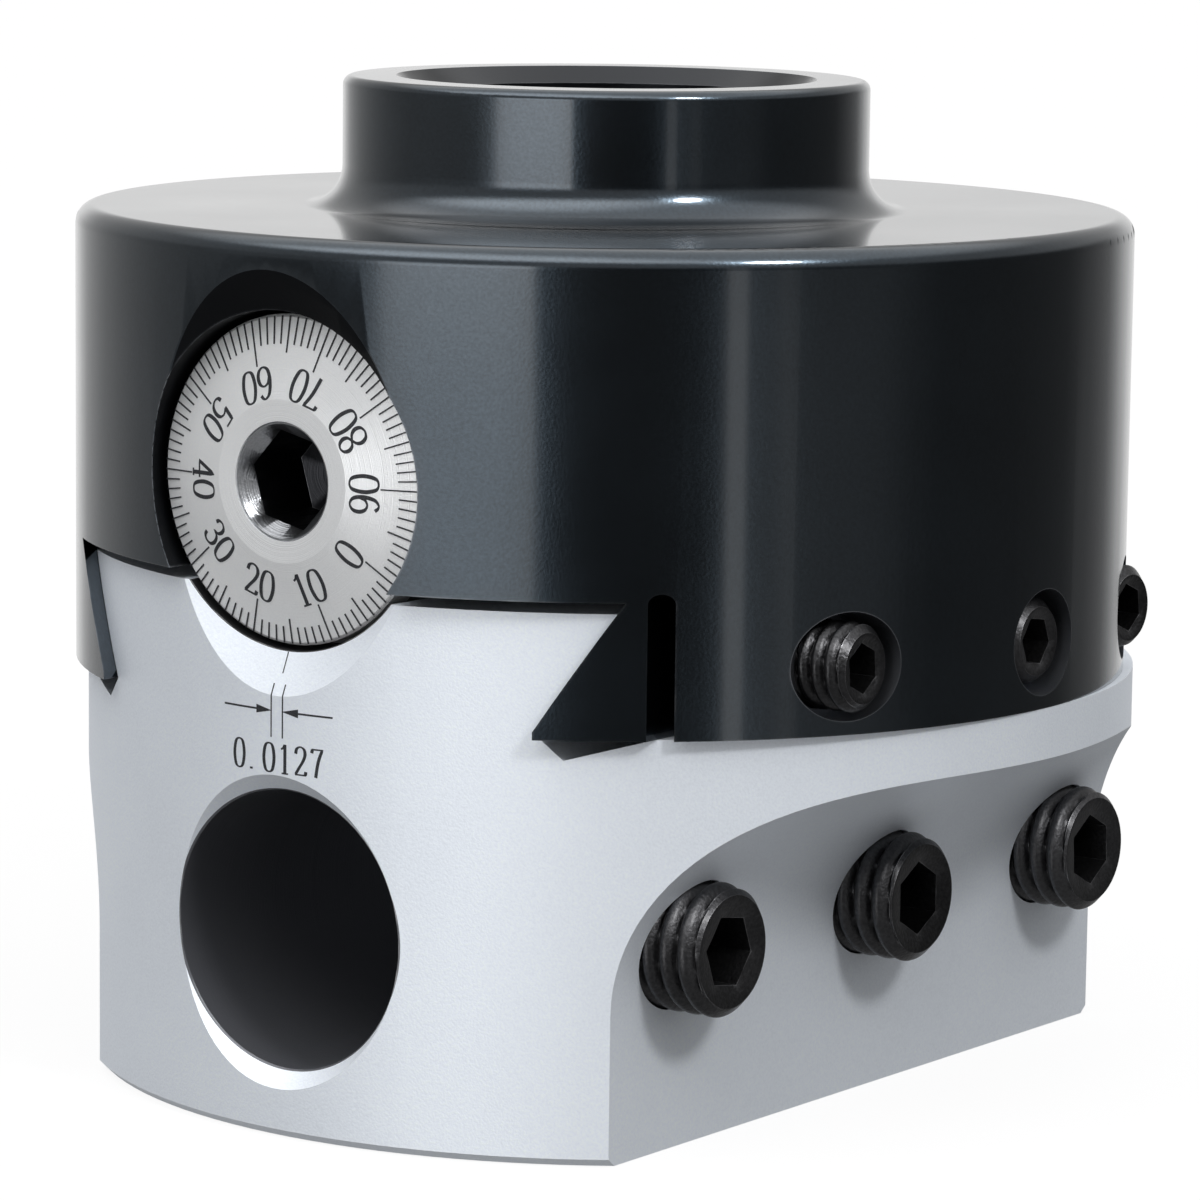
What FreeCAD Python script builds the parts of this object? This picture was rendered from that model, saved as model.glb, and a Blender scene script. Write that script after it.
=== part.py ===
import FreeCAD, Part
import math
import os
import Sketcher

# Offset boring head for a milling machine: a black body that screws on an arbor, a slide
# that holds the boring bars, and a dial screw that moves the slide across the spindle axis.
# All sizes are in millimetres. The origin is the centre of the arbor boss's mouth, the
# spindle axis is +Z, the slide travels along Y, the dial faces -Y and the screws face +X.

V = FreeCAD.Vector

# Driving dimensions: a name, its size and what it is
SIZES = (
    ("body_diameter", 100.0, "outside of body and slide"),
    ("body_height", 42.8, "body from its top face to the parting plane"),
    ("body_edge_round", 1.8, "rounding of the body's top edge"),
    ("boss_diameter", 49.8, "arbor boss"),
    ("boss_height", 12.15, "arbor boss above the body"),
    ("boss_base_fillet", 3.8, "blend from boss to body"),
    ("boss_edge_round", 0.9, "rounding of the boss's top edge"),
    ("arbor_bore_diameter", 36.6, "minor diameter of the 1-1/2 inch by 18 arbor thread"),
    ("arbor_floor_thickness", 4.2, "arbor bore's floor to the leadscrew nut"),
    ("arbor_mouth_chamfer", 1.6, "lead-in of the arbor thread"),
    ("arbor_relief_width", 3.5, "thread relief at the bore's floor"),
    ("arbor_relief_depth", 1.0, "thread relief outside the minor diameter"),
    ("dovetail_depth", 12.15, "slideway in the body, parting plane to roof"),
    ("dovetail_angle", 60.0, "flank against the parting plane, degrees"),
    ("dovetail_mouth_width", 48.8, "between the lips' sharp corners"),
    ("dovetail_top_gap", 1.15, "slide's top under the roof"),
    ("way_clearance", 0.04, "between the sliding faces"),
    ("lip_land", 0.7, "height of the blunted lip tip"),
    ("relief_depth", 2.0, "corner relief below the parting plane"),
    ("relief_run", 1.9, "corner relief, root to its deepest line"),
    ("relief_width", 8.4, "corner relief, root to its outer edge"),
    ("gib_root_thickness", 1.485, "flexing gib at the roof of the slideway"),
    ("gib_slot_width", 1.8, "saw slot behind the flexing gib"),
    ("gib_slot_rise", 0.8, "slot's round end above the roof"),
    ("gib_screw_diameter", 8.0, "gib adjusting and locking screws"),
    ("gib_screw_spacing", 23.2, "lock screw to either adjusting screw"),
    ("gib_front_sink", 4.0, "front screw's socket face inside the body's side"),
    ("gib_lock_sink", 0.7, "lock screw's socket face inside the body's side"),
    ("gib_rear_sink", 5.0, "rear screw's socket face inside the body's side"),
    ("gib_recess_diameter", 9.7, "round recess at each gib screw"),
    ("gib_recess_sink", 8.8, "outer recesses' floor inside the body's side"),
    ("gib_lock_recess_sink", 3.8, "lock screw recess's floor inside the body's side"),
    ("gib_key", 4.0, "gib screw socket across flats"),
    ("gib_key_depth", 4.2, "gib screw socket"),
    ("screw_clearance", 0.05, "radial, screw in its hole"),
    ("tip_gap", 0.05, "screw tip to the face that it presses"),
    ("screw_axis_height", 8.8, "leadscrew axis above the roof"),
    ("leadscrew_diameter", 12.7, "leadscrew thread, 20 turns to the inch"),
    ("neck_diameter", 10.68, "leadscrew head and neck"),
    ("leadscrew_bore_clearance", 0.45, "radial, leadscrew in the body"),
    ("leadscrew_run_out", 2.0, "bore past the leadscrew's end at full inward travel"),
    ("travel_outward", 25.4, "slide towards the dial side from the place shown"),
    ("travel_inward", 1.2, "slide away from the dial side from the place shown"),
    ("slide_offset", 1.77, "slide past the spindle axis as shown, away from the dial"),
    ("end_play", 0.03, "axial, dial and leadscrew in their keeper"),
    ("dial_diameter", 29.5, "dial rim"),
    ("dial_gap", 0.5, "radial, dial rim in its recess"),
    ("dial_setback", 1.95, "rim's front edge behind the slide's front"),
    ("dial_crown", 1.4, "coned face, flat centre ahead of the rim"),
    ("dial_flat_diameter", 14.6, "flat centre of the dial"),
    ("dial_rim_thickness", 3.0, "dial rim along the axis"),
    ("dial_hub_diameter", 18.0, "hub behind the rim"),
    ("dial_hub_length", 1.9, "hub behind the rim"),
    ("dial_edge_chamfer", 0.25, "broken edges of the dial"),
    ("dial_fit", 0.01, "radial, leadscrew head in the dial"),
    ("dial_key", 8.0, "leadscrew socket across flats"),
    ("dial_key_depth", 8.0, "leadscrew socket"),
    ("dial_countersink_depth", 1.3, "cone that leads into the leadscrew socket"),
    ("countersink_wall", 0.2, "land round the cone on the leadscrew's head"),
    ("head_setback", 0.15, "leadscrew head behind the dial's flat centre"),
    ("recess_mouth_diameter", 38.3, "cone of the dial recess on the outside"),
    ("recess_cone_angle", 67.0, "cone against the dial axis, degrees"),
    ("washer_thickness", 1.0, "thrust washer"),
    ("washer_diameter", 18.0, "thrust washer"),
    ("keeper_thickness", 4.0, "keeper plate"),
    ("keeper_root_radius", 18.6, "keeper plate's round foot in the slide"),
    ("keeper_top_height", 6.0, "keeper plate's arms above the leadscrew axis"),
    ("keeper_clearance", 0.05, "keeper plate in its slot"),
    ("keeper_foot_gap", 0.2, "under the keeper plate's foot"),
    ("keeper_body_gap", 0.35, "round the keeper plate in the body's recess"),
    ("nut_diameter", 19.0, "bronze leadscrew nut"),
    ("nut_height", 16.4, "bronze leadscrew nut"),
    ("nut_distance", 12.0, "nut's axis from the spindle axis, on the dial side"),
    ("nut_roof_setback", 0.2, "nut's lower end inside the roof"),
    ("nut_grip", 1.0, "leadscrew left past the nut at full outward travel"),
    ("nut_lock_diameter", 5.0, "screw that holds the nut"),
    ("nut_lock_length", 3.6, "screw that holds the nut"),
    ("nut_key", 2.5, "nut lock screw socket across flats"),
    ("nut_key_depth", 1.8, "nut lock screw socket"),
    ("slide_height", 38.35, "slide below the parting plane"),
    ("slide_flats_width", 59.8, "across the slide's side flats"),
    ("scallop_radius", 20.0, "milled sweep above each flat"),
    ("scallop_top_height", 33.6, "top of the sweep above the slide's bottom"),
    ("slide_edge_chamfer", 0.7, "slide's bottom edge"),
    ("tool_bore_diameter", 25.4, "boring bar bores"),
    ("tool_axis_height", 18.7, "cross bore and clamp screws above the bottom"),
    ("cross_bore_depth", 34.0, "cross bore from the slide's front"),
    ("cross_bore_chamfer", 1.6, "cross bore's mouth"),
    ("upright_bore_depth", 38.0, "upright bores from the slide's bottom"),
    ("upright_bore_chamfer", 0.8, "upright bores' mouths"),
    ("tool_spacing", 30.5, "from one clamp screw and bore to the next"),
    ("tool_screw_diameter", 12.0, "boring bar clamp screws"),
    ("tool_screw_stand", 6.3, "socket face outside the slide's side flat"),
    ("tool_screw_tip_gap", 0.2, "screw tip outside the bore"),
    ("tool_key", 6.0, "clamp screw socket across flats"),
    ("tool_key_depth", 6.6, "clamp screw socket"),
    ("screw_end_chamfer", 0.9, "ends of the set screws"),
    ("screw_point_length", 1.6, "coned point of the set screws"),
    ("screw_cup_land", 0.8, "flat ring at the set screws' tips"),
    ("screw_cup_depth", 0.6, "cup in the set screws' tips"),
    ("cut_margin", 2.0, "how far the cutting shapes pass the surface"),
)

# Derived dimensions: a name and its formula
LEVELS = (
    ("body_radius", "=Sizes.body_diameter / 2"),
    ("boss_radius", "=Sizes.boss_diameter / 2"),
    ("arbor_radius", "=Sizes.arbor_bore_diameter / 2"),
    ("arbor_mouth_radius", "=arbor_radius + Sizes.arbor_mouth_chamfer"),
    ("arbor_mouth_z", "=-Sizes.arbor_mouth_chamfer"),
    ("arbor_relief_radius", "=arbor_radius + Sizes.arbor_relief_depth"),
    ("shoulder_z", "=-Sizes.boss_height"),
    ("parting_z", "=shoulder_z - Sizes.body_height"),
    ("base_z", "=parting_z - Sizes.slide_height"),
    ("far_x", "=body_radius + Sizes.cut_margin"),
    # Dovetail in the body
    ("roof_z", "=parting_z + Sizes.dovetail_depth"),
    ("lip_z", "=parting_z + Sizes.lip_land"),
    ("lip_half", "=Sizes.dovetail_mouth_width / 2 + Sizes.lip_land / tan(Sizes.dovetail_angle)"),
    ("roof_half", "=Sizes.dovetail_mouth_width / 2 + Sizes.dovetail_depth / tan(Sizes.dovetail_angle)"),
    ("below_parting_z", "=parting_z - Sizes.cut_margin"),
    # Dovetail on the slide
    ("flank_shift", "=Sizes.way_clearance / sin(Sizes.dovetail_angle)"),
    ("slide_face_z", "=parting_z - Sizes.way_clearance"),
    ("slide_top_z", "=roof_z - Sizes.dovetail_top_gap"),
    ("above_slide_z", "=slide_top_z + Sizes.cut_margin"),
    ("slide_blank_height", "=slide_top_z - base_z"),
    ("root_half", "=Sizes.dovetail_mouth_width / 2 - flank_shift"),
    ("crest_half", "=root_half + (slide_top_z - parting_z) / tan(Sizes.dovetail_angle)"),
    ("relief_low_z", "=parting_z - Sizes.relief_depth"),
    ("relief_low_half", "=root_half + Sizes.relief_run"),
    ("relief_end_half", "=root_half + Sizes.relief_width"),
    # Flexing gib, its screws and their recesses
    ("gib_slot_radius", "=Sizes.gib_slot_width / 2"),
    ("gib_slot_near", "=roof_half + Sizes.gib_root_thickness"),
    ("gib_slot_mid", "=gib_slot_near + gib_slot_radius"),
    ("gib_slot_far", "=gib_slot_near + Sizes.gib_slot_width"),
    ("gib_slot_top_z", "=roof_z + Sizes.gib_slot_rise"),
    ("gib_slot_arc_z", "=gib_slot_top_z - gib_slot_radius"),
    ("gib_z", "=parting_z + Sizes.dovetail_depth / 2"),
    ("gib_screw_radius", "=Sizes.gib_screw_diameter / 2"),
    ("gib_hole_radius", "=gib_screw_radius + Sizes.screw_clearance"),
    ("gib_hole_length", "=far_x - gib_slot_mid"),
    ("gib_recess_radius", "=Sizes.gib_recess_diameter / 2"),
    ("gib_recess_length", "=Sizes.gib_recess_sink + Sizes.cut_margin"),
    ("gib_lock_recess_length", "=Sizes.gib_lock_recess_sink + Sizes.cut_margin"),
    ("gib_tip_x", "=gib_slot_near + Sizes.tip_gap"),
    ("gib_front_length", "=body_radius - Sizes.gib_front_sink - gib_tip_x"),
    ("gib_lock_length", "=body_radius - Sizes.gib_lock_sink - gib_tip_x"),
    ("gib_rear_length", "=body_radius - Sizes.gib_rear_sink - gib_tip_x"),
    # Along the dial's axis, on the slide
    ("dial_z", "=roof_z + Sizes.screw_axis_height"),
    ("dial_radius", "=Sizes.dial_diameter / 2"),
    ("dial_flat_radius", "=Sizes.dial_flat_diameter / 2"),
    ("dial_hub_radius", "=Sizes.dial_hub_diameter / 2"),
    ("dial_rim_y", "=Sizes.dial_setback - body_radius"),
    ("dial_edge_y", "=dial_rim_y + Sizes.dial_edge_chamfer"),
    ("dial_edge_radius", "=dial_radius - Sizes.dial_edge_chamfer"),
    ("dial_flat_y", "=dial_rim_y - Sizes.dial_crown"),
    ("dial_rim_back_y", "=dial_rim_y + Sizes.dial_rim_thickness"),
    ("dial_back_y", "=dial_rim_back_y + Sizes.dial_hub_length"),
    ("neck_radius", "=Sizes.neck_diameter / 2"),
    ("dial_bore_radius", "=neck_radius + Sizes.dial_fit"),
    ("washer_radius", "=Sizes.washer_diameter / 2"),
    ("washer_back_y", "=dial_back_y + Sizes.washer_thickness"),
    ("keeper_front_y", "=washer_back_y + Sizes.end_play"),
    ("keeper_back_y", "=keeper_front_y + Sizes.keeper_thickness"),
    ("thread_start_y", "=keeper_back_y + Sizes.end_play"),
    ("keeper_slot_front_y", "=keeper_front_y - Sizes.keeper_clearance / 2"),
    ("keeper_slot_back_y", "=keeper_back_y + Sizes.keeper_clearance / 2"),
    ("keeper_slot_radius", "=Sizes.keeper_root_radius + Sizes.keeper_foot_gap"),
    ("keeper_arm_radius", "=dial_radius + Sizes.dial_gap - Sizes.keeper_body_gap"),
    ("keeper_foot_z", "=slide_top_z - dial_z - Sizes.keeper_foot_gap"),
    ("keeper_foot_half", "=sqrt(Sizes.keeper_root_radius ^ 2 - keeper_foot_z ^ 2)"),
    ("keeper_waist_half", "=sqrt(keeper_arm_radius ^ 2 - keeper_foot_z ^ 2)"),
    ("keeper_arm_half", "=sqrt(keeper_arm_radius ^ 2 - Sizes.keeper_top_height ^ 2)"),
    ("keeper_fork_radius", "=neck_radius + Sizes.keeper_clearance"),
    # Leadscrew
    ("head_y", "=dial_flat_y + Sizes.head_setback"),
    ("head_cone_y", "=head_y + Sizes.dial_countersink_depth"),
    ("head_cone_radius", "=neck_radius - Sizes.countersink_wall"),
    ("thread_radius", "=Sizes.leadscrew_diameter / 2"),
    ("thread_end_radius", "=thread_radius - Sizes.screw_end_chamfer"),
    ("nut_radius", "=Sizes.nut_diameter / 2"),
    ("nut_y", "=-Sizes.nut_distance"),
    ("tail_y", "=nut_y + nut_radius + Sizes.nut_grip + Sizes.travel_outward - Sizes.slide_offset"),
    ("tail_chamfer_y", "=tail_y - Sizes.screw_end_chamfer"),
    # Dial recess and leadscrew bore in the body
    ("recess_radius", "=dial_radius + Sizes.dial_gap"),
    ("recess_mouth_radius", "=Sizes.recess_mouth_diameter / 2"),
    ("recess_cone_y", "=(recess_mouth_radius - recess_radius) / tan(Sizes.recess_cone_angle) - body_radius"),
    ("recess_out_y", "=-far_x"),
    ("recess_out_radius", "=recess_mouth_radius + Sizes.cut_margin * tan(Sizes.recess_cone_angle)"),
    ("body_recess_y", "=keeper_back_y + Sizes.slide_offset + Sizes.travel_inward + Sizes.keeper_body_gap"),
    ("leadscrew_bore_radius", "=thread_radius + Sizes.leadscrew_bore_clearance"),
    ("leadscrew_bore_y", "=tail_y + Sizes.slide_offset + Sizes.travel_inward + Sizes.leadscrew_run_out"),
    # Nut, the arbor bore's floor over it and its lock screw
    ("nut_low_z", "=roof_z + Sizes.nut_roof_setback"),
    ("nut_top_z", "=nut_low_z + Sizes.nut_height"),
    ("arbor_floor_z", "=nut_top_z + Sizes.arbor_floor_thickness"),
    ("arbor_relief_z", "=arbor_floor_z + Sizes.arbor_relief_width"),
    ("nut_bore_top_z", "=nut_top_z + Sizes.tip_gap"),
    ("nut_bore_radius", "=nut_radius + Sizes.screw_clearance"),
    ("nut_bore_length", "=nut_bore_top_z - roof_z + Sizes.cut_margin"),
    ("nut_thread_radius", "=thread_radius + Sizes.screw_clearance"),
    ("nut_lock_radius", "=Sizes.nut_lock_diameter / 2"),
    ("nut_lock_hole_radius", "=nut_lock_radius + Sizes.screw_clearance"),
    ("nut_lock_low_z", "=nut_top_z + Sizes.tip_gap"),
    ("nut_lock_top_z", "=nut_lock_low_z + Sizes.nut_lock_length"),
    ("nut_lock_hole_z", "=arbor_floor_z + Sizes.cut_margin"),
    ("nut_lock_hole_length", "=nut_lock_hole_z - nut_top_z"),
    # Side flats and milled sweeps of the slide
    ("flat_half", "=Sizes.slide_flats_width / 2"),
    ("scallop_top_z", "=base_z + Sizes.scallop_top_height"),
    ("scallop_low_z", "=scallop_top_z - Sizes.scallop_radius"),
    ("scallop_half", "=flat_half + Sizes.scallop_radius"),
    ("under_base_z", "=base_z - Sizes.cut_margin"),
    ("sweep_far", "=scallop_half + Sizes.cut_margin"),
    # Boring bar bores and their clamp screws
    ("tool_z", "=base_z + Sizes.tool_axis_height"),
    ("tool_bore_radius", "=Sizes.tool_bore_diameter / 2"),
    ("cross_floor_y", "=Sizes.cross_bore_depth - body_radius"),
    ("cross_chamfer_y", "=Sizes.cross_bore_chamfer - body_radius"),
    ("cross_mouth_radius", "=tool_bore_radius + Sizes.cross_bore_chamfer + Sizes.cut_margin"),
    ("upright_top_z", "=base_z + Sizes.upright_bore_depth"),
    ("upright_cut_length", "=Sizes.upright_bore_depth + Sizes.cut_margin"),
    ("tool_screw_radius", "=Sizes.tool_screw_diameter / 2"),
    ("tool_hole_radius", "=tool_screw_radius + Sizes.screw_clearance"),
    ("tool_hole_end_x", "=sqrt(tool_bore_radius ^ 2 - tool_hole_radius ^ 2) - Sizes.screw_clearance"),
    ("tool_hole_length", "=far_x - tool_hole_end_x"),
    ("tool_tip_x", "=tool_bore_radius + Sizes.tool_screw_tip_gap"),
    ("tool_length", "=flat_half + Sizes.tool_screw_stand - tool_tip_x"),
)

# Hexagon sockets: the name of the size across flats
KEYS = ("gib_key", "dial_key", "nut_key", "tool_key")

# Two families of set screws, and the length of each screw
FAMILIES = ("gib", "tool")
LENGTHS = ("gib_front_length", "gib_lock_length", "gib_rear_length", "tool_length")

doc = FreeCAD.newDocument("boring_head")
sizes = doc.addObject("Spreadsheet::Sheet", "Sizes")
levels = doc.addObject("Spreadsheet::Sheet", "Levels")


def fill_sizes():
    """Writes the driving dimensions, one row each, with the alias, the number and its meaning."""
    for row, (alias, size, meaning) in enumerate(SIZES, start=1):
        sizes.set("A%d" % row, alias)
        sizes.set("B%d" % row, str(size))
        sizes.set("C%d" % row, meaning)
        sizes.setAlias("B%d" % row, alias)
    doc.recompute()


def fill_levels():
    """Writes the derived dimensions as formulas, with those of each hexagon socket and set screw."""
    rows = list(LEVELS)
    for key in KEYS:
        rows.append((key + "_half", "=Sizes.%s / 2" % key))
        rows.append((key + "_corner", "=Sizes.%s / sqrt(3)" % key))
        rows.append((key + "_side", "=%s_corner / 2" % key))
    for family in FAMILIES:
        rows.append((family + "_edge_radius", "=%s_screw_radius - Sizes.screw_end_chamfer" % family))
        rows.append((family + "_tip_radius", "=%s_screw_radius - Sizes.screw_point_length" % family))
        rows.append((family + "_cup_radius", "=%s_tip_radius - Sizes.screw_cup_land" % family))
    for length in LENGTHS:
        rows.append((length + "_edge", "=%s - Sizes.screw_end_chamfer" % length))
    for row, (alias, formula) in enumerate(rows, start=1):
        levels.set("A%d" % row, alias)
        levels.setAlias("B%d" % row, alias)
        levels.set("B%d" % row, formula)
    doc.recompute()


fill_sizes()
fill_levels()
SIZE_NAMES = {alias for alias, size, meaning in SIZES}


def cell(name):
    """The expression of a named cell; a leading minus turns its sign."""
    bare = name.lstrip("-")
    sheet = "Sizes" if bare in SIZE_NAMES else "Levels"
    return ("-" if name.startswith("-") else "") + sheet + "." + bare


def number(name):
    """The present value of a named cell, or of the name "0"."""
    if name == "0":
        return 0.0
    bare = name.lstrip("-")
    sheet = sizes if bare in SIZE_NAMES else levels
    return float(sheet.get(bare)) * (-1.0 if name.startswith("-") else 1.0)


def new_body(label):
    """An empty body whose label names the sub-part."""
    made = doc.addObject("PartDesign::Body", label)
    made.Label = label
    return made


def new_sketch(body, name, role, lift=None, rise=None):
    """A sketch on one of the body's origin planes, moved by named cells.

    lift moves it along the plane's normal and rise along its second axis.
    """
    plane = next(item for item in body.Origin.OriginFeatures if item.Role == role)
    made = body.newObject("Sketcher::SketchObject", name)
    made.AttachmentSupport = [(plane, "")]
    made.MapMode = "FlatFace"
    if lift:
        made.setExpression("AttachmentOffset.Base.z", cell(lift))
    if rise:
        made.setExpression("AttachmentOffset.Base.y", cell(rise))
    doc.recompute()
    return made


def tie_point(sketch, geometry, end, place):
    """Ties a point of the sketch to its two named coordinates, measured from the sketch's origin."""
    for kind, axis, name in (("DistanceX", -2, place[0]), ("DistanceY", -1, place[1])):
        value = number(name)
        if name == "0":
            sketch.addConstraint(Sketcher.Constraint("PointOnObject", geometry, end, axis))
        elif value >= 0:
            index = sketch.addConstraint(Sketcher.Constraint(kind, -1, 1, geometry, end, value))
            sketch.setExpression("Constraints[%d]" % index, cell(name))
        else:
            index = sketch.addConstraint(Sketcher.Constraint(kind, geometry, end, -1, 1, -value))
            flipped = name[1:] if name.startswith("-") else "-" + name
            sketch.setExpression("Constraints[%d]" % index, cell(flipped))


def arc_between(start, finish, radius, turn):
    """The shorter arc from start to finish, and whether its own start is the path's start."""
    middle = (start + finish) * 0.5
    chord = finish - start
    left = V(-chord.y, chord.x, 0).normalize()
    reach = math.sqrt(max(radius ** 2 - (chord.Length / 2) ** 2, 0.0))
    centre = middle + left * (reach * turn)
    angles = [math.atan2(point.y - centre.y, point.x - centre.x) for point in (start, finish)]
    forward = turn > 0
    if not forward:
        angles.reverse()
    if angles[1] < angles[0]:
        angles[1] += 2 * math.pi
    return Part.ArcOfCircle(Part.Circle(centre, V(0, 0, 1), radius), angles[0], angles[1]), forward


def outline(sketch, corners):
    """Draws one closed outline through named corners.

    A corner is (x, y), or (x, y, radius, turn) where an arc leaves it; turn is 1 for an arc
    that bends left along the path and -1 for one that bends right.
    """
    places = [V(number(corner[0]), number(corner[1]), 0) for corner in corners]
    ends = []
    for index, corner in enumerate(corners):
        start = places[index]
        finish = places[(index + 1) % len(places)]
        if len(corner) == 4:
            radius = number(corner[2])
            arc, forward = arc_between(start, finish, radius, corner[3])
            geometry = sketch.addGeometry(arc, False)
            ends.append((geometry, 1 if forward else 2, 2 if forward else 1))
            item = sketch.addConstraint(Sketcher.Constraint("Radius", geometry, radius))
            sketch.setExpression("Constraints[%d]" % item, cell(corner[2]))
        else:
            geometry = sketch.addGeometry(Part.LineSegment(start, finish), False)
            ends.append((geometry, 1, 2))
    for index, corner in enumerate(corners):
        geometry, first, last = ends[index]
        following = ends[(index + 1) % len(ends)]
        sketch.addConstraint(Sketcher.Constraint("Coincident", geometry, last, following[0], following[1]))
        tie_point(sketch, geometry, first, corner)


def ring(sketch, radius, x="0", y="0"):
    """Draws one circle of a named radius at a named centre."""
    circle = Part.Circle(V(number(x), number(y), 0), V(0, 0, 1), number(radius))
    geometry = sketch.addGeometry(circle, False)
    tie_point(sketch, geometry, 3, (x, y))
    index = sketch.addConstraint(Sketcher.Constraint("Radius", geometry, number(radius)))
    sketch.setExpression("Constraints[%d]" % index, cell(radius))


def hexagon(sketch, key):
    """Draws a hexagon socket of the named size across flats round the sketch's origin."""
    corner, side, half = key + "_corner", key + "_side", key + "_half"
    outline(sketch, [(corner, "0"), (side, half), ("-" + side, half),
                     ("-" + corner, "0"), ("-" + side, "-" + half), (side, "-" + half)])


def add(body, kind, name, profile, length=None, axis=None, through=False, reverse=False):
    """Adds a feature made from a sketch, and checks that it changed the body's volume as it should."""
    before = body.Shape.Volume if body.Shape and not body.Shape.isNull() else 0.0
    made = body.newObject("PartDesign::" + kind, name)
    made.Profile = profile
    if axis:
        made.ReferenceAxis = (profile, [axis])
        made.Angle = 360.0
    if length:
        made.setExpression("Length", cell(length))
    if through:
        made.SideType = "Symmetric"
        made.Type = "ThroughAll"
    made.Reversed = reverse
    doc.recompute()
    grew = body.Shape.Volume - before
    adds = kind in ("Pad", "Revolution")
    if (grew > 0) != adds or abs(grew) < 1e-6:
        raise RuntimeError("%s of %s changed the volume by %.4f" % (name, body.Label, grew))
    return made


def edges(feature, wanted):
    """Names of the feature's edges for which wanted(edge) is true."""
    found = ["Edge%d" % (index + 1) for index, edge in enumerate(feature.Shape.Edges) if wanted(edge)]
    if not found:
        raise RuntimeError("no edge found on " + feature.Name)
    return found


def circle_at(radius, z):
    """A test for round edges about the spindle axis with a named radius at a named level."""
    def wanted(edge):
        curve = edge.Curve
        return (isinstance(curve, Part.Circle) and abs(curve.Radius - number(radius)) < 1e-4
                and abs(curve.Center.z - number(z)) < 1e-4 and abs(curve.Axis.z) > 0.999)
    return wanted


def dress(body, kind, name, base, wanted, size):
    """Rounds or chamfers the wanted edges of a feature by a named size."""
    made = body.newObject("PartDesign::" + kind, name)
    made.Base = (base, edges(base, wanted))
    made.setExpression("Radius" if kind == "Fillet" else "Size", cell(size))
    body.Tip = made
    doc.recompute()
    return made


def place(body, x="0", y="0", z="0"):
    """Moves a whole body to a named place."""
    for axis, name in (("x", x), ("y", y), ("z", z)):
        if name != "0":
            body.setExpression("Placement.Base." + axis, cell(name))


# Body with its boss, arbor bore, dovetail slideway and flexing gib
def make_body():
    body = new_body("body")
    turned = new_sketch(body, "body_turned", "XZ_Plane")
    outline(turned, [("0", "arbor_floor_z"), ("arbor_relief_radius", "arbor_floor_z"),
                     ("arbor_relief_radius", "arbor_relief_z"), ("arbor_radius", "arbor_relief_z"),
                     ("arbor_radius", "arbor_mouth_z"), ("arbor_mouth_radius", "0"),
                     ("boss_radius", "0"), ("boss_radius", "shoulder_z"),
                     ("body_radius", "shoulder_z"), ("body_radius", "parting_z"), ("0", "parting_z")])
    blank = add(body, "Revolution", "body_blank", turned, axis="V_Axis")
    rounded = dress(body, "Fillet", "boss_blend", blank, circle_at("boss_radius", "shoulder_z"),
                    "boss_base_fillet")
    rounded = dress(body, "Fillet", "boss_edge", rounded, circle_at("boss_radius", "0"), "boss_edge_round")
    dress(body, "Fillet", "body_edge", rounded, circle_at("body_radius", "shoulder_z"), "body_edge_round")

    slideway = new_sketch(body, "slideway_section", "XZ_Plane")
    outline(slideway, [("lip_half", "below_parting_z"), ("lip_half", "lip_z"), ("roof_half", "roof_z"),
                       ("-roof_half", "roof_z"), ("-lip_half", "lip_z"), ("-lip_half", "below_parting_z")])
    add(body, "Pocket", "slideway", slideway, through=True)
    slot = new_sketch(body, "gib_slot_section", "XZ_Plane")
    outline(slot, [("gib_slot_near", "below_parting_z"), ("gib_slot_far", "below_parting_z"),
                   ("gib_slot_far", "gib_slot_arc_z", "gib_slot_radius", 1),
                   ("gib_slot_mid", "gib_slot_top_z", "gib_slot_radius", 1),
                   ("gib_slot_near", "gib_slot_arc_z")])
    add(body, "Pocket", "gib_slot", slot, through=True)

    bore = new_sketch(body, "dial_recess_section", "YZ_Plane", rise="dial_z")
    outline(bore, [("leadscrew_bore_y", "0"), ("leadscrew_bore_y", "leadscrew_bore_radius"),
                   ("body_recess_y", "leadscrew_bore_radius"), ("body_recess_y", "recess_radius"),
                   ("recess_cone_y", "recess_radius"), ("recess_out_y", "recess_out_radius"),
                   ("recess_out_y", "0")])
    add(body, "Groove", "dial_recess", bore, axis="H_Axis")

    nut_hole = new_sketch(body, "nut_bore_section", "XY_Plane", lift="nut_bore_top_z")
    ring(nut_hole, "nut_bore_radius", y="nut_y")
    add(body, "Pocket", "nut_bore", nut_hole, length="nut_bore_length")
    lock_hole = new_sketch(body, "nut_lock_section", "XY_Plane", lift="nut_lock_hole_z")
    ring(lock_hole, "nut_lock_hole_radius", y="nut_y")
    add(body, "Pocket", "nut_lock_hole", lock_hole, length="nut_lock_hole_length")

    holes = new_sketch(body, "gib_hole_section", "YZ_Plane", lift="far_x")
    for y in ("-gib_screw_spacing", "0", "gib_screw_spacing"):
        ring(holes, "gib_hole_radius", y, "gib_z")
    add(body, "Pocket", "gib_holes", holes, length="gib_hole_length")
    outer = new_sketch(body, "gib_recess_section", "YZ_Plane", lift="far_x")
    for y in ("-gib_screw_spacing", "gib_screw_spacing"):
        ring(outer, "gib_recess_radius", y, "gib_z")
    add(body, "Pocket", "gib_recesses", outer, length="gib_recess_length")
    middle = new_sketch(body, "gib_lock_recess_section", "YZ_Plane", lift="far_x")
    ring(middle, "gib_recess_radius", "0", "gib_z")
    add(body, "Pocket", "gib_lock_recess", middle, length="gib_lock_recess_length")
    return body


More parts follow.
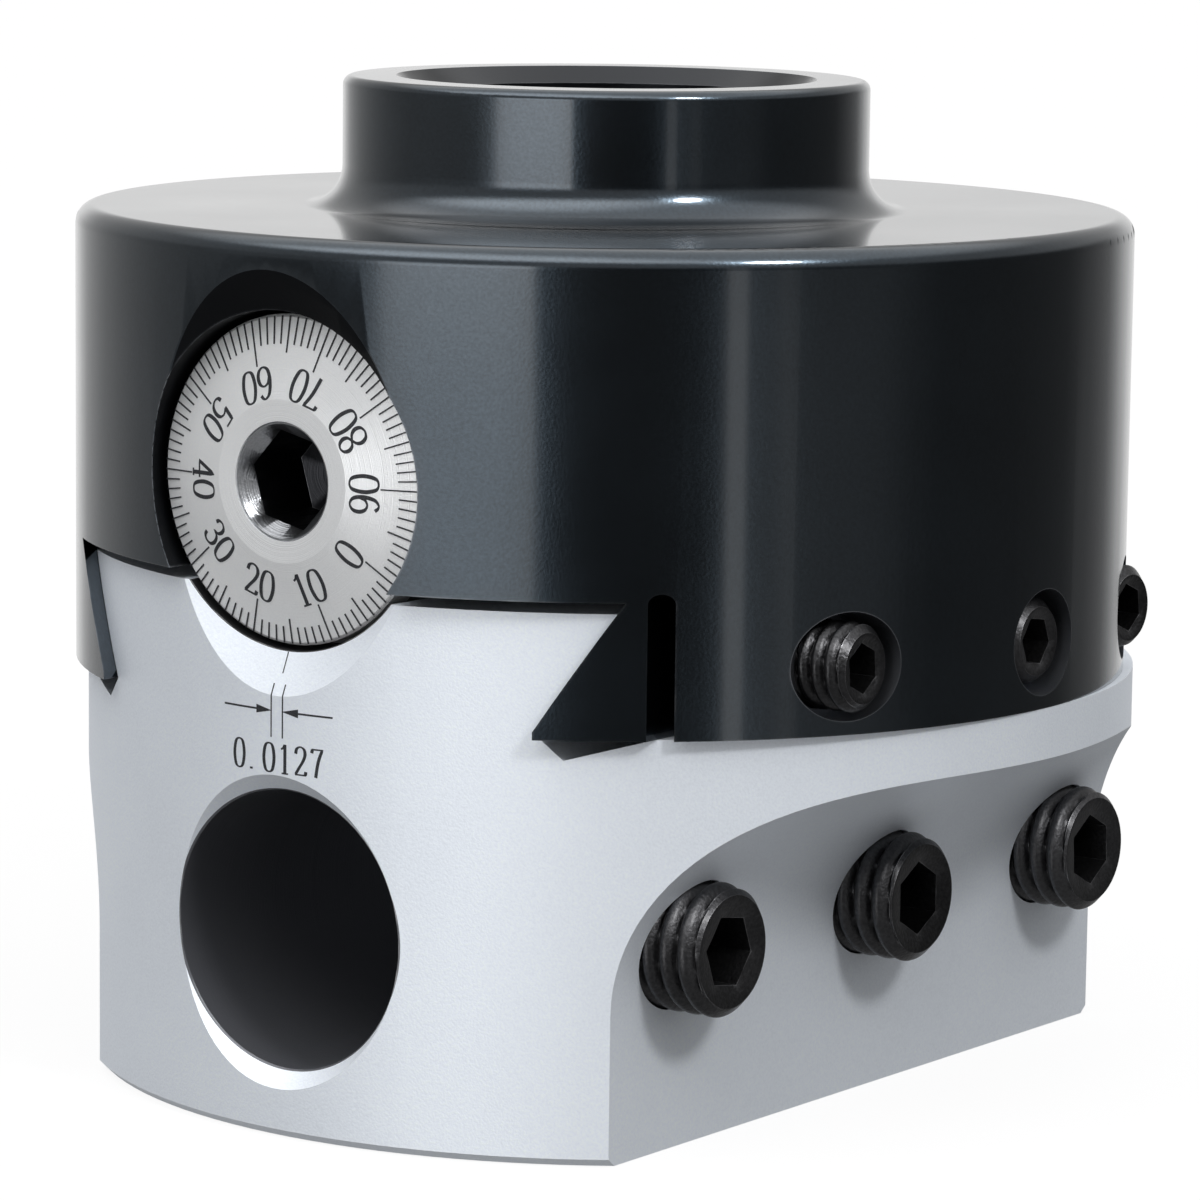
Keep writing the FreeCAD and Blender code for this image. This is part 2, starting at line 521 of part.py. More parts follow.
# Slide with its dovetail, side flats, boring bar bores and dial recess
def make_slide():
    body = new_body("slide")
    disc = new_sketch(body, "slide_disc", "XY_Plane", lift="base_z")
    ring(disc, "body_radius")
    add(body, "Pad", "slide_blank", disc, length="slide_blank_height")

    flanks = new_sketch(body, "slide_dovetail_section", "XZ_Plane")
    flats = new_sketch(body, "slide_flats_section", "XZ_Plane")
    for side, turn in (("", 1), ("-", -1)):
        outline(flanks, [(side + "far_x", "above_slide_z"), (side + "crest_half", "above_slide_z"),
                         (side + "crest_half", "slide_top_z"), (side + "root_half", "parting_z"),
                         (side + "relief_low_half", "relief_low_z"),
                         (side + "relief_end_half", "slide_face_z"), (side + "far_x", "slide_face_z")])
        outline(flats, [(side + "sweep_far", "under_base_z"), (side + "sweep_far", "scallop_top_z"),
                        (side + "scallop_half", "scallop_top_z", "scallop_radius", turn),
                        (side + "flat_half", "scallop_low_z"), (side + "flat_half", "under_base_z")])
    add(body, "Pocket", "slide_dovetail", flanks, through=True)
    add(body, "Pocket", "slide_flats", flats, through=True)
    edge = add_cross_and_upright_bores(body)
    dress(body, "Chamfer", "upright_mouths", edge, circle_at("tool_bore_radius", "base_z"),
          "upright_bore_chamfer")
    dress(body, "Chamfer", "slide_base_edge", body.Tip, circle_at("body_radius", "base_z"),
          "slide_edge_chamfer")

    recess = new_sketch(body, "slide_recess_section", "YZ_Plane", rise="dial_z")
    outline(recess, [("keeper_slot_back_y", "0"), ("keeper_slot_back_y", "keeper_slot_radius"),
                     ("keeper_slot_front_y", "keeper_slot_radius"),
                     ("keeper_slot_front_y", "recess_radius"), ("recess_cone_y", "recess_radius"),
                     ("recess_out_y", "recess_out_radius"), ("recess_out_y", "0")])
    add(body, "Groove", "slide_dial_recess", recess, axis="H_Axis")

    holes = new_sketch(body, "tool_hole_section", "YZ_Plane", lift="far_x")
    for y in ("-tool_spacing", "0", "tool_spacing"):
        ring(holes, "tool_hole_radius", y, "tool_z")
    add(body, "Pocket", "tool_holes", holes, length="tool_hole_length")
    place(body, y="slide_offset")
    return body


def add_cross_and_upright_bores(body):
    """Bores the slide for boring bars: one from the front and two from below."""
    cross = new_sketch(body, "cross_bore_section", "YZ_Plane", rise="tool_z")
    outline(cross, [("cross_floor_y", "0"), ("cross_floor_y", "tool_bore_radius"),
                    ("cross_chamfer_y", "tool_bore_radius"), ("recess_out_y", "cross_mouth_radius"),
                    ("recess_out_y", "0")])
    add(body, "Groove", "cross_bore", cross, axis="H_Axis")
    upright = new_sketch(body, "upright_bore_section", "XY_Plane", lift="upright_top_z")
    ring(upright, "tool_bore_radius")
    ring(upright, "tool_bore_radius", "0", "tool_spacing")
    return add(body, "Pocket", "upright_bores", upright, length="upright_cut_length")


# Socket set screws, pointing inwards along -X from a socket face
def make_set_screw(label, family, length, y, carrier_y=None):
    """A cup-point set screw of the gib or tool family, in the hole at y.

    carrier_y names the shift of the piece that carries the screw.
    """
    radius, edge = family + "_screw_radius", length + "_edge"
    body = new_body(label)
    section = new_sketch(body, label + "_section", "XZ_Plane")
    outline(section, [("screw_cup_depth", "0"), ("0", family + "_cup_radius"),
                      ("0", family + "_tip_radius"), ("screw_point_length", radius), (edge, radius),
                      (length, family + "_edge_radius"), (length, "0")])
    add(body, "Revolution", label + "_turned", section, axis="H_Axis")
    socket = new_sketch(body, label + "_socket_section", "YZ_Plane", lift=length)
    hexagon(socket, family + "_key")
    add(body, "Pocket", label + "_socket", socket, length=family + "_key_depth")
    place(body, family + "_tip_x", y, family + "_z")
    if carrier_y:
        shift = cell(carrier_y)
        body.setExpression("Placement.Base.y", shift if y == "0" else "%s + %s" % (cell(y), shift))
    return body


# Leadscrew, its dial and what holds them in the slide
def make_leadscrew():
    body = new_body("leadscrew")
    section = new_sketch(body, "leadscrew_section", "YZ_Plane")
    outline(section, [("head_cone_y", "0"), ("head_cone_y", "dial_key_corner"),
                      ("head_y", "head_cone_radius"), ("head_y", "neck_radius"),
                      ("thread_start_y", "neck_radius"), ("thread_start_y", "thread_radius"),
                      ("tail_chamfer_y", "thread_radius"), ("tail_y", "thread_end_radius"), ("tail_y", "0")])
    add(body, "Revolution", "leadscrew_turned", section, axis="H_Axis")
    socket = new_sketch(body, "dial_socket_section", "XZ_Plane", lift="-head_cone_y")
    hexagon(socket, "dial_key")
    add(body, "Pocket", "dial_socket", socket, length="dial_key_depth")
    place(body, y="slide_offset", z="dial_z")
    return body


def make_dial():
    body = new_body("dial")
    section = new_sketch(body, "dial_section", "YZ_Plane")
    outline(section, [("dial_flat_y", "dial_bore_radius"), ("dial_flat_y", "dial_flat_radius"),
                      ("dial_rim_y", "dial_edge_radius"), ("dial_edge_y", "dial_radius"),
                      ("dial_rim_back_y", "dial_radius"), ("dial_rim_back_y", "dial_hub_radius"),
                      ("dial_back_y", "dial_hub_radius"), ("dial_back_y", "dial_bore_radius")])
    add(body, "Revolution", "dial_turned", section, axis="H_Axis")
    place(body, y="slide_offset", z="dial_z")
    return body


def make_thrust_washer():
    body = new_body("thrust_washer")
    section = new_sketch(body, "washer_section", "YZ_Plane")
    outline(section, [("dial_back_y", "keeper_fork_radius"), ("dial_back_y", "washer_radius"),
                      ("washer_back_y", "washer_radius"), ("washer_back_y", "keeper_fork_radius")])
    add(body, "Revolution", "washer_turned", section, axis="H_Axis")
    place(body, y="slide_offset", z="dial_z")
    return body


def make_keeper():
    """The half-moon plate in the slide that grips the leadscrew's neck between two shoulders."""
    body = new_body("screw_keeper")
    section = new_sketch(body, "keeper_section", "XZ_Plane", lift="-keeper_back_y")
    outline(section, [("-keeper_foot_half", "keeper_foot_z", "keeper_root_radius", 1),
                      ("keeper_foot_half", "keeper_foot_z"),
                      ("keeper_waist_half", "keeper_foot_z", "keeper_arm_radius", 1),
                      ("keeper_arm_half", "keeper_top_height"), ("keeper_fork_radius", "keeper_top_height"),
                      ("keeper_fork_radius", "0", "keeper_fork_radius", -1),
                      ("0", "-keeper_fork_radius", "keeper_fork_radius", -1),
                      ("-keeper_fork_radius", "0"), ("-keeper_fork_radius", "keeper_top_height"),
                      ("-keeper_arm_half", "keeper_top_height", "keeper_arm_radius", 1),
                      ("-keeper_waist_half", "keeper_foot_z")])
    add(body, "Pad", "keeper_plate", section, length="keeper_thickness")
    place(body, y="slide_offset", z="dial_z")
    return body


# Bronze nut in the body and the screw that holds it
def make_nut():
    body = new_body("lead_nut")
    disc = new_sketch(body, "nut_disc", "XY_Plane", lift="nut_low_z")
    ring(disc, "nut_radius")
    add(body, "Pad", "nut_blank", disc, length="nut_height")
    cross = new_sketch(body, "nut_thread_section", "XZ_Plane", rise="dial_z")
    ring(cross, "nut_thread_radius")
    add(body, "Pocket", "nut_thread", cross, through=True)
    place(body, y="nut_y")
    return body


def make_nut_lock():
    body = new_body("nut_lock_screw")
    disc = new_sketch(body, "nut_lock_disc", "XY_Plane", lift="nut_lock_low_z")
    ring(disc, "nut_lock_radius")
    add(body, "Pad", "nut_lock_blank", disc, length="nut_lock_length")
    socket = new_sketch(body, "nut_lock_socket_section", "XY_Plane", lift="nut_lock_top_z")
    hexagon(socket, "nut_key")
    add(body, "Pocket", "nut_lock_socket", socket, length="nut_key_depth")
    place(body, y="nut_y")
    return body


parts = [make_body(), make_slide(), make_leadscrew(), make_dial(), make_thrust_washer(), make_keeper(),
         make_nut(), make_nut_lock()]
for label, length, y in (("gib_screw_front", "gib_front_length", "-gib_screw_spacing"),
                         ("gib_lock_screw", "gib_lock_length", "0"),
                         ("gib_screw_rear", "gib_rear_length", "gib_screw_spacing")):
    parts.append(make_set_screw(label, "gib", length, y))
for label, y in (("tool_screw_front", "-tool_spacing"), ("tool_screw_center", "0"),
                 ("tool_screw_rear", "tool_spacing")):
    parts.append(make_set_screw(label, "tool", "tool_length", y, "slide_offset"))
doc.recompute()

for item in doc.Objects:
    if "Invalid" in item.State or "Error" in item.State:
        raise RuntimeError("%s did not compute: %s" % (item.Name, item.State))
os.makedirs("parts", exist_ok=True)
for part in parts:
    shape = part.Shape
    if shape.isNull() or not shape.isValid() or len(shape.Solids) != 1:
        raise RuntimeError("%s is not one valid solid" % part.Label)
    shape.exportStep("parts/%s.step" % part.Label)
    print("%-20s %10.2f mm3" % (part.Label, shape.Volume))
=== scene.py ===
import logging
import math
from dataclasses import dataclass
from enum import Enum

import bmesh
import bpy
from mathutils import Matrix, Vector


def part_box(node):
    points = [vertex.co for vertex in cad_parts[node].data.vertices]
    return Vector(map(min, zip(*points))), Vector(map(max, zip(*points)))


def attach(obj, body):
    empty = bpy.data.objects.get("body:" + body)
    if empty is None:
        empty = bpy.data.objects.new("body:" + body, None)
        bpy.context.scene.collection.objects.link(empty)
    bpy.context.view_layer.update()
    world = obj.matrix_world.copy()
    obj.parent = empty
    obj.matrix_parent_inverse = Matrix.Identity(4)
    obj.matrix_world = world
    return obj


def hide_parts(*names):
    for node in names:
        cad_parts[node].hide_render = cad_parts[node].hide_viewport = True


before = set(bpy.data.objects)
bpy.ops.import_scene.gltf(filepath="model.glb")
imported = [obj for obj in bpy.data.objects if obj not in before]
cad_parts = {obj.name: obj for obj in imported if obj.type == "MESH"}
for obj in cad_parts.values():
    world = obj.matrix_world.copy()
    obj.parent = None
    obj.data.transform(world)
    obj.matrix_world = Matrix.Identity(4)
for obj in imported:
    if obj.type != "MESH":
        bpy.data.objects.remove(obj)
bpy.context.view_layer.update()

# Sizes are in millimetres here and become metres where a mesh is made
MM = 0.001

log = logging.getLogger("boring_head")

# Short names for the types that are passed round
Pair = tuple[float, float]
Triple = tuple[float, float, float]
Node = bpy.types.Node
Socket = bpy.types.NodeSocket
Tree = bpy.types.NodeTree
Material = bpy.types.Material
Piece = bpy.types.Object

# Places that several pieces share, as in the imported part
DIAL_Z = -34.0
BASE_Z = -93.3
SLIDE_SHIFT = 1.77
BODY_RADIUS = 50.0
GIB_SPACING = 23.2
GIB_Z = -48.875
TOOL_SPACING = 30.5
TOOL_Z = -74.6
END_PLAY = 0.03


class Aim(Enum):
    """Which way a threaded piece points, from its tail to its head."""

    RIGHT = "right"
    DIAL_SIDE = "dial side"
    UP = "up"


class Axis(Enum):
    """The direction of a hole, with the share of X, Y and Z that lies across it."""

    ALONG_X = (0.0, 1.0, 1.0)
    ALONG_Y = (1.0, 0.0, 1.0)
    ALONG_Z = (1.0, 1.0, 0.0)


class Wiring:
    """Adds nodes and links to one node tree."""

    def __init__(self, tree: Tree) -> None:
        """Keeps the tree that the nodes go into."""
        self.tree = tree

    def put(self, kind: str, inputs: dict | None = None, **settings: object) -> Node:
        """Adds one node.

        Args:
            kind: the node's type name.
            inputs: a plain value or an output socket for each input, by name or number.
            settings: the node's own properties.

        Returns:
            The new node.
        """
        made = self.tree.nodes.new(kind)
        for name, setting in settings.items():
            setattr(made, name, setting)
        for key, source in (inputs or {}).items():
            if isinstance(source, Socket):
                self.tree.links.new(source, made.inputs[key])
            else:
                made.inputs[key].default_value = source
        return made

    def math(self, operation: str, *values: object) -> Socket:
        """Adds a Math node.

        Args:
            operation: the node's operation.
            values: one to three plain numbers or output sockets.

        Returns:
            The result's socket.
        """
        return self.put("ShaderNodeMath", dict(enumerate(values)), operation=operation).outputs[0]

    def vector(self, operation: str, *values: object) -> Node:
        """Adds a Vector Math node.

        Args:
            operation: the node's operation.
            values: one or two vectors or output sockets.

        Returns:
            The new node.
        """
        return self.put("ShaderNodeVectorMath", dict(enumerate(values)), operation=operation)

    def steps(self, value: Socket, low: float, high: float, out_low: object, out_high: float) -> Socket:
        """Maps a value smoothly from one range to another and holds it at the ends.

        Args:
            value: the value that is read.
            low: start of the range that is read.
            high: end of the range that is read.
            out_low: result at the start.
            out_high: result at the end.

        Returns:
            The result's socket.
        """
        inputs = {"Value": value, "From Min": low, "From Max": high, "To Min": out_low, "To Max": out_high}
        return self.put("ShaderNodeMapRange", inputs, interpolation_type="SMOOTHSTEP").outputs["Result"]

    def blend(self, factor: object, first: object, second: object) -> Socket:
        """Mixes two colours.

        Args:
            factor: share of the second colour.
            first: a colour or an output socket.
            second: a colour or an output socket.

        Returns:
            The mixed colour's socket.
        """
        made = self.put("ShaderNodeMix", {"Factor": factor, "A": 0.0, "B": 0.0}, data_type="FLOAT")
        made.data_type = "RGBA"
        colours = [socket for socket in made.inputs if socket.type == "RGBA"]
        for socket, source in zip(colours, (first, second)):
            if isinstance(source, Socket):
                self.tree.links.new(source, socket)
            else:
                socket.default_value = (*source, 1.0)
        return next(socket for socket in made.outputs if socket.type == "RGBA")

    def group(self, tree: Tree, **inputs: object) -> Node:
        """Adds a shared effect, with its inputs' names in small letters."""
        named = {name.title(): value for name, value in inputs.items()}
        return self.put("ShaderNodeGroup", named, node_tree=tree)

    def place(self) -> Socket:
        """The place on the object, in its own coordinates."""
        return self.put("ShaderNodeTexCoord").outputs["Object"]

    def distance(self, place: Socket, shares: Triple) -> Socket:
        """Measures how far a place is from the origin, with a share of each direction."""
        kept = self.vector("MULTIPLY", place, shares).outputs[0]
        return self.vector("LENGTH", kept).outputs["Value"]

    def around(self, radius: object, angle: object, height: object) -> Socket:
        """Finds a place from its angle round the Z axis.

        Args:
            radius: how far it is from the axis.
            angle: the angle in radians.
            height: its height.

        Returns:
            The place's socket.
        """
        parts = {
            "X": self.math("MULTIPLY", radius, self.math("COSINE", angle)),
            "Y": self.math("MULTIPLY", radius, self.math("SINE", angle)),
            "Z": height,
        }
        return self.put("ShaderNodeCombineXYZ", parts).outputs[0]

    def give_mesh(self, mesh: Socket, material: Socket) -> None:
        """Ends a Geometry Nodes tree: its mesh is made real and gets its material."""
        real = self.put("GeometryNodeRealizeInstances", {"Geometry": mesh})
        dressed = self.put("GeometryNodeSetMaterial", {"Geometry": real.outputs[0], "Material": material})
        self.put("NodeGroupOutput", {"Mesh": dressed.outputs[0]})


def new_group(name: str, kind: str, inputs: tuple, outputs: tuple) -> tuple[Tree, Wiring, dict]:
    """Starts a node group with named inputs and outputs.

    Args:
        name: the group's name.
        kind: the tree's type name.
        inputs: a name, a socket type and a start value for each input.
        outputs: a name and a socket type for each output.

    Returns:
        The tree, its wiring and the input sockets by name.
    """
    tree = bpy.data.node_groups.new(name, kind)
    for label, socket_type, value in inputs:
        socket = tree.interface.new_socket(name=label, in_out="INPUT", socket_type=socket_type)
        if value is not None:
            socket.default_value = value
    for label, socket_type in outputs:
        tree.interface.new_socket(name=label, in_out="OUTPUT", socket_type=socket_type)
    wiring = Wiring(tree)
    entry = wiring.put("NodeGroupInput")
    return tree, wiring, {label: entry.outputs[label] for label, socket_type, value in inputs}


def plain_inputs(kind: str, *names: str) -> tuple:
    """Lists node group inputs of one kind, which every user of the group sets."""
    return tuple((name, f"NodeSocket{kind}", None) for name in names)


def new_material(name: str) -> tuple[Material, Wiring]:
    """Starts a material.

    Args:
        name: the material's name.

    Returns:
        The material, still without nodes, and its wiring.
    """
    material = bpy.data.materials.new(name)
    material.use_nodes = True
    material.node_tree.nodes.clear()
    return material, Wiring(material.node_tree)


def add_object(name: str, data: bpy.types.ID) -> Piece:
    """Puts a new object into the scene.

    Args:
        name: the object's name.
        data: its mesh, camera or light.

    Returns:
        The new object, at the origin.
    """
    made = bpy.data.objects.new(name, data)
    bpy.context.scene.collection.objects.link(made)
    return made


@dataclass(frozen=True)
class Hole:
    """A round hole whose wall gets its own roughness and a painted colour: painted shade in the bores,
    sockets and dial recesses, painted light in the gib screws' recesses.

    It ends at limits of X, Y and Z, and at a reach from the Z axis where it has one.
    """

    axis: Axis
    middle: Triple
    radius: float
    colour: Triple
    roughness: float
    z_below: float = 0.0
    y_below: float = 60.0
    y_above: float = -60.0
    x_above: float = -60.0
    reach: float = 0.0
    grooves: float = 0.0
    shine: float = 0.0

    def mask(self, wiring: Wiring) -> Socket:
        """Marks the hole's wall in a material, where its painted shade or painted light is mixed in.

        Args:
            wiring: the material's wiring.

        Returns:
            A mask that is 1 in the hole.
        """
        place = wiring.place()
        x, y, z = wiring.put("ShaderNodeSeparateXYZ", {0: place}).outputs
        away = wiring.vector("SUBTRACT", place, tuple(value * MM for value in self.middle)).outputs[0]
        inside = wiring.math("LESS_THAN", wiring.distance(away, self.axis.value), self.radius * MM)
        limits = [
            (z, "LESS_THAN", self.z_below),
            (y, "LESS_THAN", self.y_below),
            (y, "GREATER_THAN", self.y_above),
            (x, "GREATER_THAN", self.x_above),
        ]
        if self.reach:
            limits.append((wiring.distance(place, Axis.ALONG_Z.value), "LESS_THAN", self.reach))
        for value, test, limit in limits:
            inside = wiring.math("MULTIPLY", inside, wiring.math(test, value, limit * MM))
        return inside


class SharedEffects:
    """The shader node groups that more than one finish uses."""

    def __init__(self) -> None:
        """Builds each group once."""
        self.grain = self.build_grain()
        self.edge_wear = self.build_edge_wear()
        self.lathe_lines = self.build_lathe_lines()

    def build_grain(self) -> Tree:
        """Makes the fine grain of a metal surface.

        Returns:
            A group with a grain value from 0 to 1 and a wider cloudiness.
        """
        inputs = (
            *plain_inputs("Vector", "Stretch"),
            *plain_inputs("Float", "Fineness"),
            ("Cloud Fineness", "NodeSocketFloat", 60.0),
        )
        outputs = (("Grain", "NodeSocketFloat"), ("Cloud", "NodeSocketFloat"))
        tree, wiring, given = new_group("metal_grain", "ShaderNodeTree", inputs, outputs)
        place = wiring.place()
        drawn = wiring.vector("MULTIPLY", place, given["Stretch"]).outputs[0]
        fine, wide = (
            wiring.put("ShaderNodeTexNoise", {"Vector": way, "Scale": scale, "Detail": detail}).outputs[0]
            for way, scale, detail in ((drawn, given["Fineness"], 2.0), (place, given["Cloud Fineness"], 3.0))
        )
        wiring.put("NodeGroupOutput", {"Grain": fine, "Cloud": wide})
        return tree

    def build_edge_wear(self) -> Tree:
        """Makes the mask of worn and broken edges.

        Returns:
            A group with a mask that is 1 on sharp edges.
        """
        inputs = (*plain_inputs("Float", "Width", "Amount"), ("Patchiness", "NodeSocketFloat", 400.0))
        tree, wiring, given = new_group("edge_wear", "ShaderNodeTree", inputs, (("Mask", "NodeSocketFloat"),))
        rounded = wiring.put("ShaderNodeBevel", {"Radius": given["Width"]}, samples=6)
        flat = wiring.put("ShaderNodeNewGeometry").outputs["Normal"]
        same = wiring.vector("DOT_PRODUCT", rounded.outputs[0], flat).outputs["Value"]
        edge = wiring.steps(same, 0.995, 0.86, 0.0, 1.0)
        patches = {"Vector": wiring.place(), "Scale": given["Patchiness"], "Detail": 2.0}
        broken = wiring.steps(wiring.put("ShaderNodeTexNoise", patches).outputs[0], 0.38, 0.62, 0.15, 1.0)
        mask = wiring.math("MULTIPLY", wiring.math("MULTIPLY", edge, broken), given["Amount"])
        wiring.put("NodeGroupOutput", {"Mask": mask})
        return tree

    def build_lathe_lines(self) -> Tree:
        """Makes the rings that facing and boring leave, round an axis along Y.

        Returns:
            A group with the height of a face's rings and of a bore's grooves.
        """
        inputs = (
            ("Centre", "NodeSocketVector", (0.0, 0.0, DIAL_Z * MM)),
            ("Fineness", "NodeSocketFloat", 9000.0),
        )
        outputs = (("Height", "NodeSocketFloat"), ("Grooves", "NodeSocketFloat"))
        tree, wiring, given = new_group("lathe_lines", "ShaderNodeTree", inputs, outputs)
        place = wiring.place()
        away = wiring.vector("SUBTRACT", place, given["Centre"]).outputs[0]
        radius = wiring.distance(away, Axis.ALONG_Y.value)
        depth = wiring.put("ShaderNodeSeparateXYZ", {0: place}).outputs["Y"]
        rings, grooves = (
            wiring.put("ShaderNodeTexNoise", {"W": way, "Scale": given["Fineness"], "Detail": 2.0},
                       noise_dimensions="1D")
            for way in (radius, depth)
        )
        wiring.put("NodeGroupOutput", {"Height": rings.outputs[0], "Grooves": grooves.outputs[0]})
        return tree


@dataclass(frozen=True)
class MetalFinish:
    """A metal surface, with its grain, its worn edges and the painted shade and painted light on its hole
    walls.
    """

    name: str
    colour: Triple
    roughness: float
    worn_colour: Triple
    wear: float = 1.0
    wear_width: float = 0.25
    grain_stretch: Triple = (1.0, 1.0, 1.0)
    fineness: float = 5000.0
    cloud: float = 0.1
    mottle: float = 0.05
    bump: float = 0.02
    coat: float = 0.0
    coat_roughness: float = 0.1
    lathe: float = 0.0
    metallic: float = 1.0
    holes: tuple[Hole, ...] = ()

    def build(self, effects: SharedEffects) -> Material:
        """Makes the material.

        Args:
            effects: the shared node groups.

        Returns:
            The finished material.
        """
        material, wiring = new_material(self.name)
        grain = wiring.group(effects.grain, stretch=self.grain_stretch, fineness=self.fineness)
        wear = wiring.group(effects.edge_wear, width=self.wear_width * MM, amount=self.wear)
        centred = wiring.math("SUBTRACT", grain.outputs["Cloud"], 0.5)
        shade = wiring.math("MULTIPLY_ADD", centred, self.cloud * 2.0, 1.0)
        speck = wiring.math("SUBTRACT", grain.outputs["Grain"], 0.5)
        shade = wiring.math("MULTIPLY_ADD", speck, self.mottle * 2.0, shade)
        plain = wiring.put("ShaderNodeRGB").outputs[0]
        plain.default_value = (*self.colour, 1.0)
        tint = wiring.put("ShaderNodeVectorMath", {0: plain, "Scale": shade}, operation="SCALE").outputs[0]
        rough = wiring.math("MULTIPLY_ADD", centred, self.cloud * 0.5, self.roughness)
        coat = self.coat
        height = grain.outputs["Grain"]
        # Each hole wall gets its painted colour: painted shade in bores, sockets and dial recesses, painted
        # light in the gib screws' recesses
        for hole in self.holes:
            inside = hole.mask(wiring)
            tint = wiring.blend(inside, tint, hole.colour)
            rough = wiring.steps(inside, 0.0, 1.0, rough, hole.roughness)
            if self.coat:
                lost = wiring.math("MULTIPLY", inside, 1.0 - hole.shine)
                coat = wiring.math("MULTIPLY", wiring.math("SUBTRACT", 1.0, lost), coat)
            if hole.grooves:
                cut = wiring.math("MULTIPLY", wiring.group(effects.lathe_lines).outputs["Grooves"], inside)
                height = wiring.math("MULTIPLY_ADD", cut, hole.grooves, height)
        tint = wiring.blend(wear.outputs["Mask"], tint, self.worn_colour)
        if self.lathe:
            rings = wiring.group(effects.lathe_lines).outputs["Height"]
            height = wiring.math("MULTIPLY_ADD", rings, self.lathe, height)
        bump = wiring.put("ShaderNodeBump", {"Strength": self.bump, "Distance": 0.0002, "Height": height})
        inputs = {
            "Base Color": tint,
            "Metallic": self.metallic,
            "Roughness": rough,
            "Coat Weight": coat,
            "Coat Roughness": self.coat_roughness,
            "Normal": bump.outputs[0],
        }
        surface = wiring.put("ShaderNodeBsdfPrincipled", inputs)
        wiring.put("ShaderNodeOutputMaterial", {"Surface": surface.outputs[0]})
        return material


@dataclass(frozen=True)
class InkFinish:
    """The black filling of an engraved mark."""

    name: str = "mark_black"
    colour: Triple = (0.012, 0.013, 0.016)
    roughness: float = 0.55
    fineness: float = 9000.0
    fading: float = 4.0

    def build(self, effects: SharedEffects) -> Material:
        """Makes the material.

        Args:
            effects: the shared node groups.

        Returns:
            The finished material.
        """
        material, wiring = new_material(self.name)
        grain = wiring.group(effects.grain, stretch=(1.0, 1.0, 1.0), fineness=self.fineness)
        faded = tuple(channel * self.fading for channel in self.colour)
        share = wiring.steps(grain.outputs["Grain"], 0.45, 0.75, 0.0, 1.0)
        tint = wiring.blend(share, self.colour, faded)
        surface = wiring.put("ShaderNodeBsdfPrincipled", {"Base Color": tint, "Roughness": self.roughness})
        wiring.put("ShaderNodeOutputMaterial", {"Surface": surface.outputs[0]})
        return material


# The three bores for boring bars and the wall round the dial, in the slide, with painted shade on their walls
BORE_PAINTED_SHADE = (0.13, 0.135, 0.15)
BORE_REACH = 12.85
SLIDE_PAINTED_SHADE = (
    Hole(Axis.ALONG_Y, (0.0, 0.0, TOOL_Z), BORE_REACH, BORE_PAINTED_SHADE, 0.3, y_below=-14.0, grooves=3.0),
    *(
        Hole(Axis.ALONG_Z, (0.0, SLIDE_SHIFT + y, 0.0), BORE_REACH, BORE_PAINTED_SHADE, 0.3, z_below=-55.2)
        for y in (0.0, TOOL_SPACING)
    ),
    Hole(Axis.ALONG_Y, (0.0, 0.0, DIAL_Z), 15.33, (0.02, 0.02, 0.022), 0.5, y_below=-35.0),
)

# The dial's recess and the arbor's bore with painted shade, and the recesses round the gib screws with
# painted light, in the body
BODY_PAINTED_SHADE_AND_LIGHT = (
    Hole(Axis.ALONG_Y, (0.0, 0.0, DIAL_Z), 19.4, (0.014, 0.015, 0.017), 0.45, y_below=-30.0, reach=49.9),
    Hole(Axis.ALONG_Z, (0.0, 0.0, 0.0), 19.96, (0.02, 0.022, 0.026), 0.3, z_below=-0.02, shine=0.8),
    *(
        # The gib screws' recess walls are coloured lighter than the body: painted light
        Hole(Axis.ALONG_X, (0.0, y, GIB_Z), 4.9, (0.2, 0.21, 0.23), 0.4, x_above=33.0)
        for y in (-GIB_SPACING, 0.0, GIB_SPACING)
    ),
)

# The leadscrew's hexagon socket, behind its round mouth, with painted shade inside
SOCKET_PAINTED_SHADE = (Hole(Axis.ALONG_Y, (0.0, 0.0, DIAL_Z), 4.7, (0.035, 0.036, 0.04), 0.35, y_above=-46.15),)

